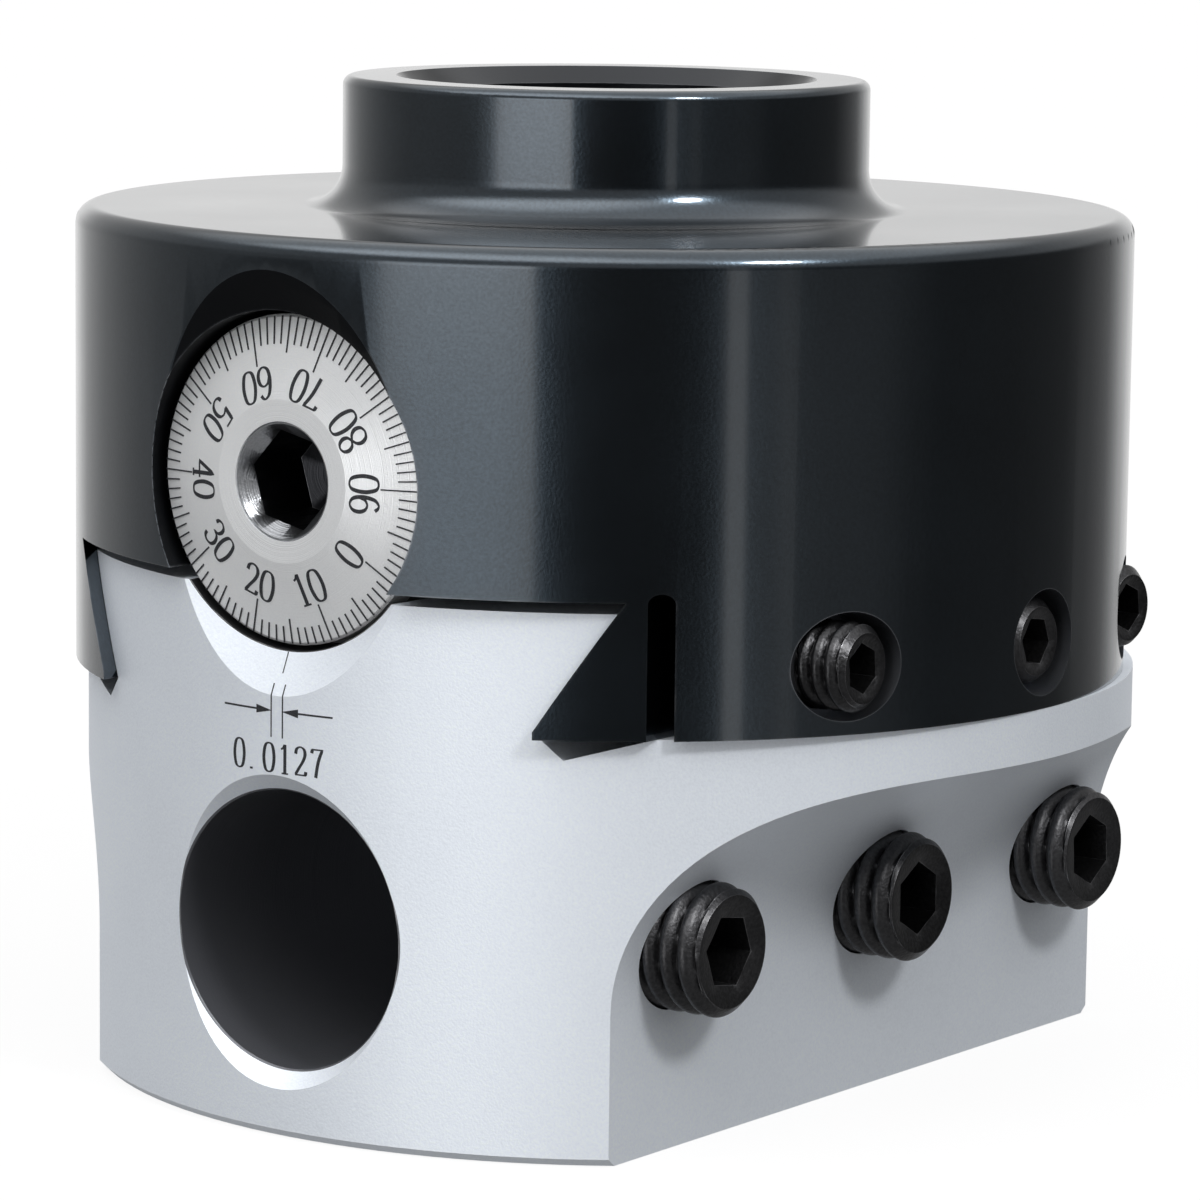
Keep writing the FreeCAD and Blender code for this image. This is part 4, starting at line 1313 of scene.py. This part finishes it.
@dataclass
class SlideScale:
    """The index line, the division arrows and the plain number on the slide's front."""

    cone_mouth: float = 19.15
    cone_angle: float = 67.0
    index_top: float = 15.35
    index_foot: float = 17.2
    pair_half: float = 0.65
    pair_top: float = -52.1
    pair_foot: float = -56.9
    line_width: float = 0.12
    pair_width: float = 0.14
    arrow_z: float = -54.5
    arrow_width: float = 0.17
    arrow_length: float = 1.75
    arrow_tails: Pair = (-6.4, 6.1)
    head_width: float = 0.75
    tip_width: float = 0.03
    number: str = "0.0127"
    number_z: float = -58.75
    number_height: float = 2.6

    def surface(self, x: float, z: float, height: float) -> Triple:
        """Puts a place on the slide's front into space.

        Args:
            x: to the right of the middle.
            z: the height in the part.
            height: out of the surface.

        Returns:
            The point in millimetres.
        """
        outside = -math.sqrt(BODY_RADIUS ** 2 - x ** 2)
        away = math.hypot(x, z - DIAL_Z)
        cone = -BODY_RADIUS + (self.cone_mouth - away) / math.tan(math.radians(self.cone_angle))
        return (x, max(outside, cone) + SLIDE_SHIFT - height, z)

    def line(self, pen: Pen, start: Pair, end: Pair, width: float) -> None:
        """Draws a straight line of one width that follows the surface."""
        count = 24
        path = [
            (start[0] + (end[0] - start[0]) * index / count, start[1] + (end[1] - start[1]) * index / count)
            for index in range(count + 1)
        ]
        pen.stroke(path, self.surface, [width] * len(path))

    def arrow(self, pen: Pen, tail: float, tip: float) -> None:
        """Draws an arrow with a filled head on the arrows' line."""
        reach = math.copysign(self.arrow_length, tip - tail)
        self.line(pen, (tail, self.arrow_z), (tip - reach, self.arrow_z), self.arrow_width)
        shares = [index / 6 for index in range(7)]
        head = [(tip - reach + reach * share, self.arrow_z) for share in shares]
        widths = [self.head_width * (1.0 - share) + self.tip_width for share in shares]
        pen.stroke(head, self.surface, widths)

    def make(self, workshop: Workshop) -> list[Piece]:
        """Builds the marks on the slide.

        Args:
            workshop: the finishes and trees.

        Returns:
            The finished pieces.
        """
        pen = Pen(thick=0.3, thin=0.13, proud=0.015)
        self.line(pen, (0.0, DIAL_Z - self.index_top), (0.0, DIAL_Z - self.index_foot), self.line_width)
        sides = (-self.pair_half, self.pair_half)
        for x in sides:
            self.line(pen, (x, self.pair_top), (x, self.pair_foot), self.pair_width)
        for tail, tip in zip(self.arrow_tails, sides):
            self.arrow(pen, tail, tip)
        marks = workshop.mesh_piece("slide_index_marks", pen.points, pen.faces, "mark_black")
        pen = Pen(thick=0.34, thin=0.14, proud=0.015)

        def lay(u: float, v: float, height: float) -> Triple:
            """Lays a digit's point on the slide's front."""
            return self.surface(u, self.number_z + v, height)

        pen.write(self.number, self.number_height, lay, spacing=0.69)
        legend = workshop.mesh_piece("slide_division_number", pen.points, pen.faces, "mark_black")
        for piece in (marks, legend):
            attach(piece, "slide_block")
        return [marks, legend]


@dataclass
class SmoothBody:
    """The black body with its seams closed and true normals on its turned rounds, so that they shine cleanly.

    Each round has its middle's radius and height, its own radius, and 1 if it is outer or -1 if it is inner.
    """

    node: str = "body"
    body: str = "head"
    finish: str = "black_oxide_body"
    crease: float = 32.0
    weld: float = 0.002
    rounds: tuple[tuple[float, float, float, int], ...] = (
        (24.0, -0.9, 0.9, 1), (48.2, -13.95, 1.8, 1), (28.7, -8.35, 3.8, -1),
    )

    def turned_normal(self, point: Vector) -> Vector | None:
        """Finds the true normal at a corner on one of the rounds turned about the head's axis.

        Args:
            point: the corner, in millimetres.

        Returns:
            The normal, or nothing where the corner lies on no round.
        """
        reach = math.hypot(point.x, point.y)
        for middle, height, radius, side in self.rounds:
            out = (reach - middle) * side
            up = (point.z - height) * side
            if min(out, up) > -0.02 and abs(math.hypot(out, up) - radius) < 0.03:
                level = Vector((point.x, point.y, 0.0)) / reach
                return (level * max(out, 0.0) + Vector((0.0, 0.0, max(up, 0.0)))).normalized()
        return None

    def make(self, workshop: Workshop) -> Piece:
        """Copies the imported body, joins its corners and weighs each normal by its faces' size.

        Args:
            workshop: the finishes and trees.

        Returns:
            The finished piece.
        """
        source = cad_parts[self.node]
        mesh = source.data.copy()
        mesh.transform(source.matrix_world)
        worn = mesh.attributes.get("custom_normal")
        if worn:
            mesh.attributes.remove(worn)
        shape = bmesh.new()
        shape.from_mesh(mesh)
        bmesh.ops.remove_doubles(shape, verts=shape.verts, dist=self.weld * MM)
        shape.to_mesh(mesh)
        shape.free()
        mesh.polygons.foreach_set("use_smooth", [True] * len(mesh.polygons))
        mesh.set_sharp_from_angle(angle=math.radians(self.crease))
        piece = add_object("body_smooth", mesh)
        even = piece.modifiers.new("even", "WEIGHTED_NORMAL")
        even.keep_sharp = True
        workshop.settle(piece, self.crease)
        shape = piece.data
        normals = [entry.vector.copy() for entry in shape.corner_normals]
        for face in shape.polygons:
            for corner in face.loop_indices:
                true = self.turned_normal(shape.vertices[shape.loops[corner].vertex_index].co / MM)
                if true and true.dot(face.normal) > 0.8:
                    normals[corner] = true
        shape.normals_split_custom_set(normals)
        workshop.dress(piece, self.finish)
        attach(piece, self.body)
        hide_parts(self.node)
        return piece


# How bright the studio's walls are, at bearings in degrees to the right of the camera's side
WALL_LEVELS = (
    (-180.0, 0.83), (-164.0, 0.87), (-150.0, 0.5), (-136.0, 0.38), (-110.0, 0.29), (-72.0, 0.2),
    (-58.0, 0.19), (-52.0, 0.34), (-49.0, 0.75), (-47.0, 1.45), (-43.0, 1.65), (-34.0, 1.7),
    (-15.5, 1.75), (-13.6, 0.07), (20.0, 0.06), (25.0, 0.13), (26.5, 1.0), (29.5, 1.0),
    (31.0, 0.22), (36.0, 0.24), (37.5, 0.36), (40.5, 0.36), (42.0, 0.18), (60.0, 0.17),
    (75.0, 0.08), (118.0, 0.08), (140.0, 0.22), (152.0, 0.6), (164.0, 0.78), (180.0, 0.81),
)
BRIGHTEST = 2.0


@dataclass
class Studio:
    """The camera, the floor and the light."""

    azimuth: float = 36.429
    pitch: float = 8.525
    roll: float = 0.711
    distance: float = 521.949
    lens: float = 163.47
    sensor: float = 36.0
    target_x: float = -0.042
    target_z: float = -49.976
    floor_half: float = 8000.0
    floor_gap: float = 0.05
    floor_white: float = 0.88
    window_bearing: float = -35.0
    strip_bearing: float = 30.0
    lamp_place: Triple = (490.0, -130.0, 350.0)
    lamp_size: float = 120.0
    lamp_power: float = 1.6

    def axes(self) -> tuple[Vector, Vector, Vector]:
        """Finds the camera's own axes.

        Returns:
            Right, up and backwards.
        """
        az, pitch, roll = (math.radians(value) for value in (self.azimuth, self.pitch, self.roll))
        back = Vector((math.sin(az) * math.cos(pitch), -math.cos(az) * math.cos(pitch), math.sin(pitch)))
        level = Vector((math.cos(az), math.sin(az), 0.0))
        raised = back.cross(level)
        right = level * math.cos(roll) + raised * math.sin(roll)
        return right, raised * math.cos(roll) - level * math.sin(roll), back

    def level_way(self, bearing: float) -> tuple[float, ...]:
        """Finds a level direction.

        Args:
            bearing: degrees to the right of the camera's side.

        Returns:
            The direction's X, Y and Z.
        """
        right, up, back = self.axes()
        aside, ahead = (Vector((way.x, way.y, 0.0)).normalized() for way in (right, back))
        angle = math.radians(bearing)
        return tuple(ahead * math.cos(angle) + aside * math.sin(angle))

    def add_camera(self) -> None:
        """Puts the camera at the photograph's view."""
        right, up, back = self.axes()
        target = right * self.target_x + Vector((0.0, 0.0, self.target_z))
        camera = bpy.data.cameras.new("camera")
        camera.lens = self.lens
        camera.sensor_width = self.sensor
        camera.clip_start = 0.01
        camera.clip_end = 100.0
        holder = add_object("camera", camera)
        turn = Matrix((right, up, back)).transposed().to_4x4()
        holder.matrix_world = Matrix.Translation((target + back * self.distance) * MM) @ turn
        bpy.context.scene.camera = holder

    def add_floor(self) -> None:
        """Lays the pale floor: the camera sees it, and the world gives its light to the object."""
        half = self.floor_half * MM
        height = (BASE_Z - self.floor_gap) * MM
        corners = [(x, y, height) for x, y in ((-half, -half), (half, -half), (half, half), (-half, half))]
        mesh = bpy.data.meshes.new("floor")
        mesh.from_pydata(corners, [], [(0, 1, 2, 3)])
        floor = add_object("floor", mesh)
        material, wiring = new_material("floor_pale")
        cloth = wiring.put("ShaderNodeBsdfDiffuse", {"Color": (0.9, 0.9, 0.9, 1.0)})
        white = wiring.put("ShaderNodeEmission", {"Strength": 1.0})
        clear = wiring.put("ShaderNodeBsdfTransparent")
        camera = wiring.put("ShaderNodeLightPath").outputs["Is Camera Ray"]
        lit = {0: self.floor_white, 1: cloth.outputs[0], 2: white.outputs[0]}
        seen = {0: camera, 1: clear.outputs[0], 2: wiring.put("ShaderNodeMixShader", lit).outputs[0]}
        mixed = wiring.put("ShaderNodeMixShader", seen)
        wiring.put("ShaderNodeOutputMaterial", {"Surface": mixed.outputs[0]})
        mesh.materials.append(material)

    def add_world(self) -> None:
        """Sets the studio round the object: a tall soft window at the left, a lamp strip and pale walls."""
        world = bpy.data.worlds.new("studio")
        bpy.context.scene.world = world
        world.use_nodes = True
        world.node_tree.nodes.clear()
        wiring = Wiring(world.node_tree)
        way = wiring.put("ShaderNodeTexCoord").outputs["Generated"]
        height = wiring.put("ShaderNodeSeparateXYZ", {0: way}).outputs["Z"]
        ahead, aside, window, strip = (
            wiring.vector("DOT_PRODUCT", way, self.level_way(bearing)).outputs["Value"]
            for bearing in (0.0, 90.0, self.window_bearing, self.strip_bearing)
        )
        share = wiring.math("MULTIPLY_ADD", wiring.math("ARCTAN2", aside, ahead), 1.0 / math.tau, 0.5)
        ramp = wiring.put("ShaderNodeValToRGB", {0: share})
        while len(ramp.color_ramp.elements) < len(WALL_LEVELS):
            ramp.color_ramp.elements.new(0.5)
        for element, (bearing, level) in zip(ramp.color_ramp.elements, WALL_LEVELS):
            element.position = (bearing + 180.0) / 360.0
            element.color = (*(level / BRIGHTEST,) * 3, 1.0)
        lift = 1.0
        for near, spread, heights, change in (
            (window, (0.45, 0.85), (-0.135, -0.045), (-0.28, 0.5)),
            (strip, (0.75, 0.95), (-0.1, -0.06), (0.2, -0.4)),
        ):
            raised = wiring.steps(height, *heights, *change)
            lift = wiring.math("MULTIPLY_ADD", raised, wiring.steps(near, *spread, 0.0, 1.0), lift)
        total = wiring.math("MULTIPLY", wiring.math("MULTIPLY", ramp.outputs[0], BRIGHTEST), lift)
        overhead = wiring.steps(window, 0.1, 0.6, 1.2, 3.1)
        for low, high, level in ((0.1, 0.3, 0.42), (0.52, 0.76, overhead), (-0.25, -0.5, 0.25)):
            share = wiring.steps(height, low, high, 0.0, 1.0)
            total = wiring.math("MULTIPLY_ADD", wiring.math("SUBTRACT", level, total), share, total)
        camera = wiring.put("ShaderNodeLightPath").outputs["Is Camera Ray"]
        strength = wiring.math("MULTIPLY_ADD", total, wiring.math("SUBTRACT", 1.0, camera), camera)
        background = wiring.put("ShaderNodeBackground", {"Color": (1.0, 1.0, 1.0, 1.0), "Strength": strength})
        wiring.put("ShaderNodeOutputWorld", {"Surface": background.outputs[0]})

    def add_lamp(self) -> None:
        """Hangs the soft lamp above the clamp screws' side."""
        light = bpy.data.lights.new("side_lamp", "AREA")
        light.shape = "DISK"
        light.size = self.lamp_size * MM
        light.energy = self.lamp_power
        place = Vector(self.lamp_place) * MM
        turn = (-place).to_track_quat("-Z", "Y").to_matrix().to_4x4()
        add_object("side_lamp", light).matrix_world = Matrix.Translation(place) @ turn

    def make(self) -> None:
        """Sets up the whole studio."""
        self.add_camera()
        self.add_floor()
        self.add_world()
        self.add_lamp()
        bpy.context.scene.view_settings.view_transform = "Standard"


def main() -> None:
    """Builds the studio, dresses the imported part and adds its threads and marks."""
    logging.basicConfig(level=logging.INFO)
    Studio().make()
    workshop = Workshop()
    for node, finish in NODE_FINISHES.items():
        workshop.dress(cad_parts[node], finish)
        log.info("dressed %s in %s", node, finish)
    made = [SmoothBody().make(workshop)]
    made += [piece.make(workshop) for piece in threaded_pieces()]
    made += Dial().make(workshop)
    made += SlideScale().make(workshop)
    for piece in made:
        log.info("made %s with %d faces", piece.name, len(piece.data.polygons))


if __name__ == "__main__":
    main()
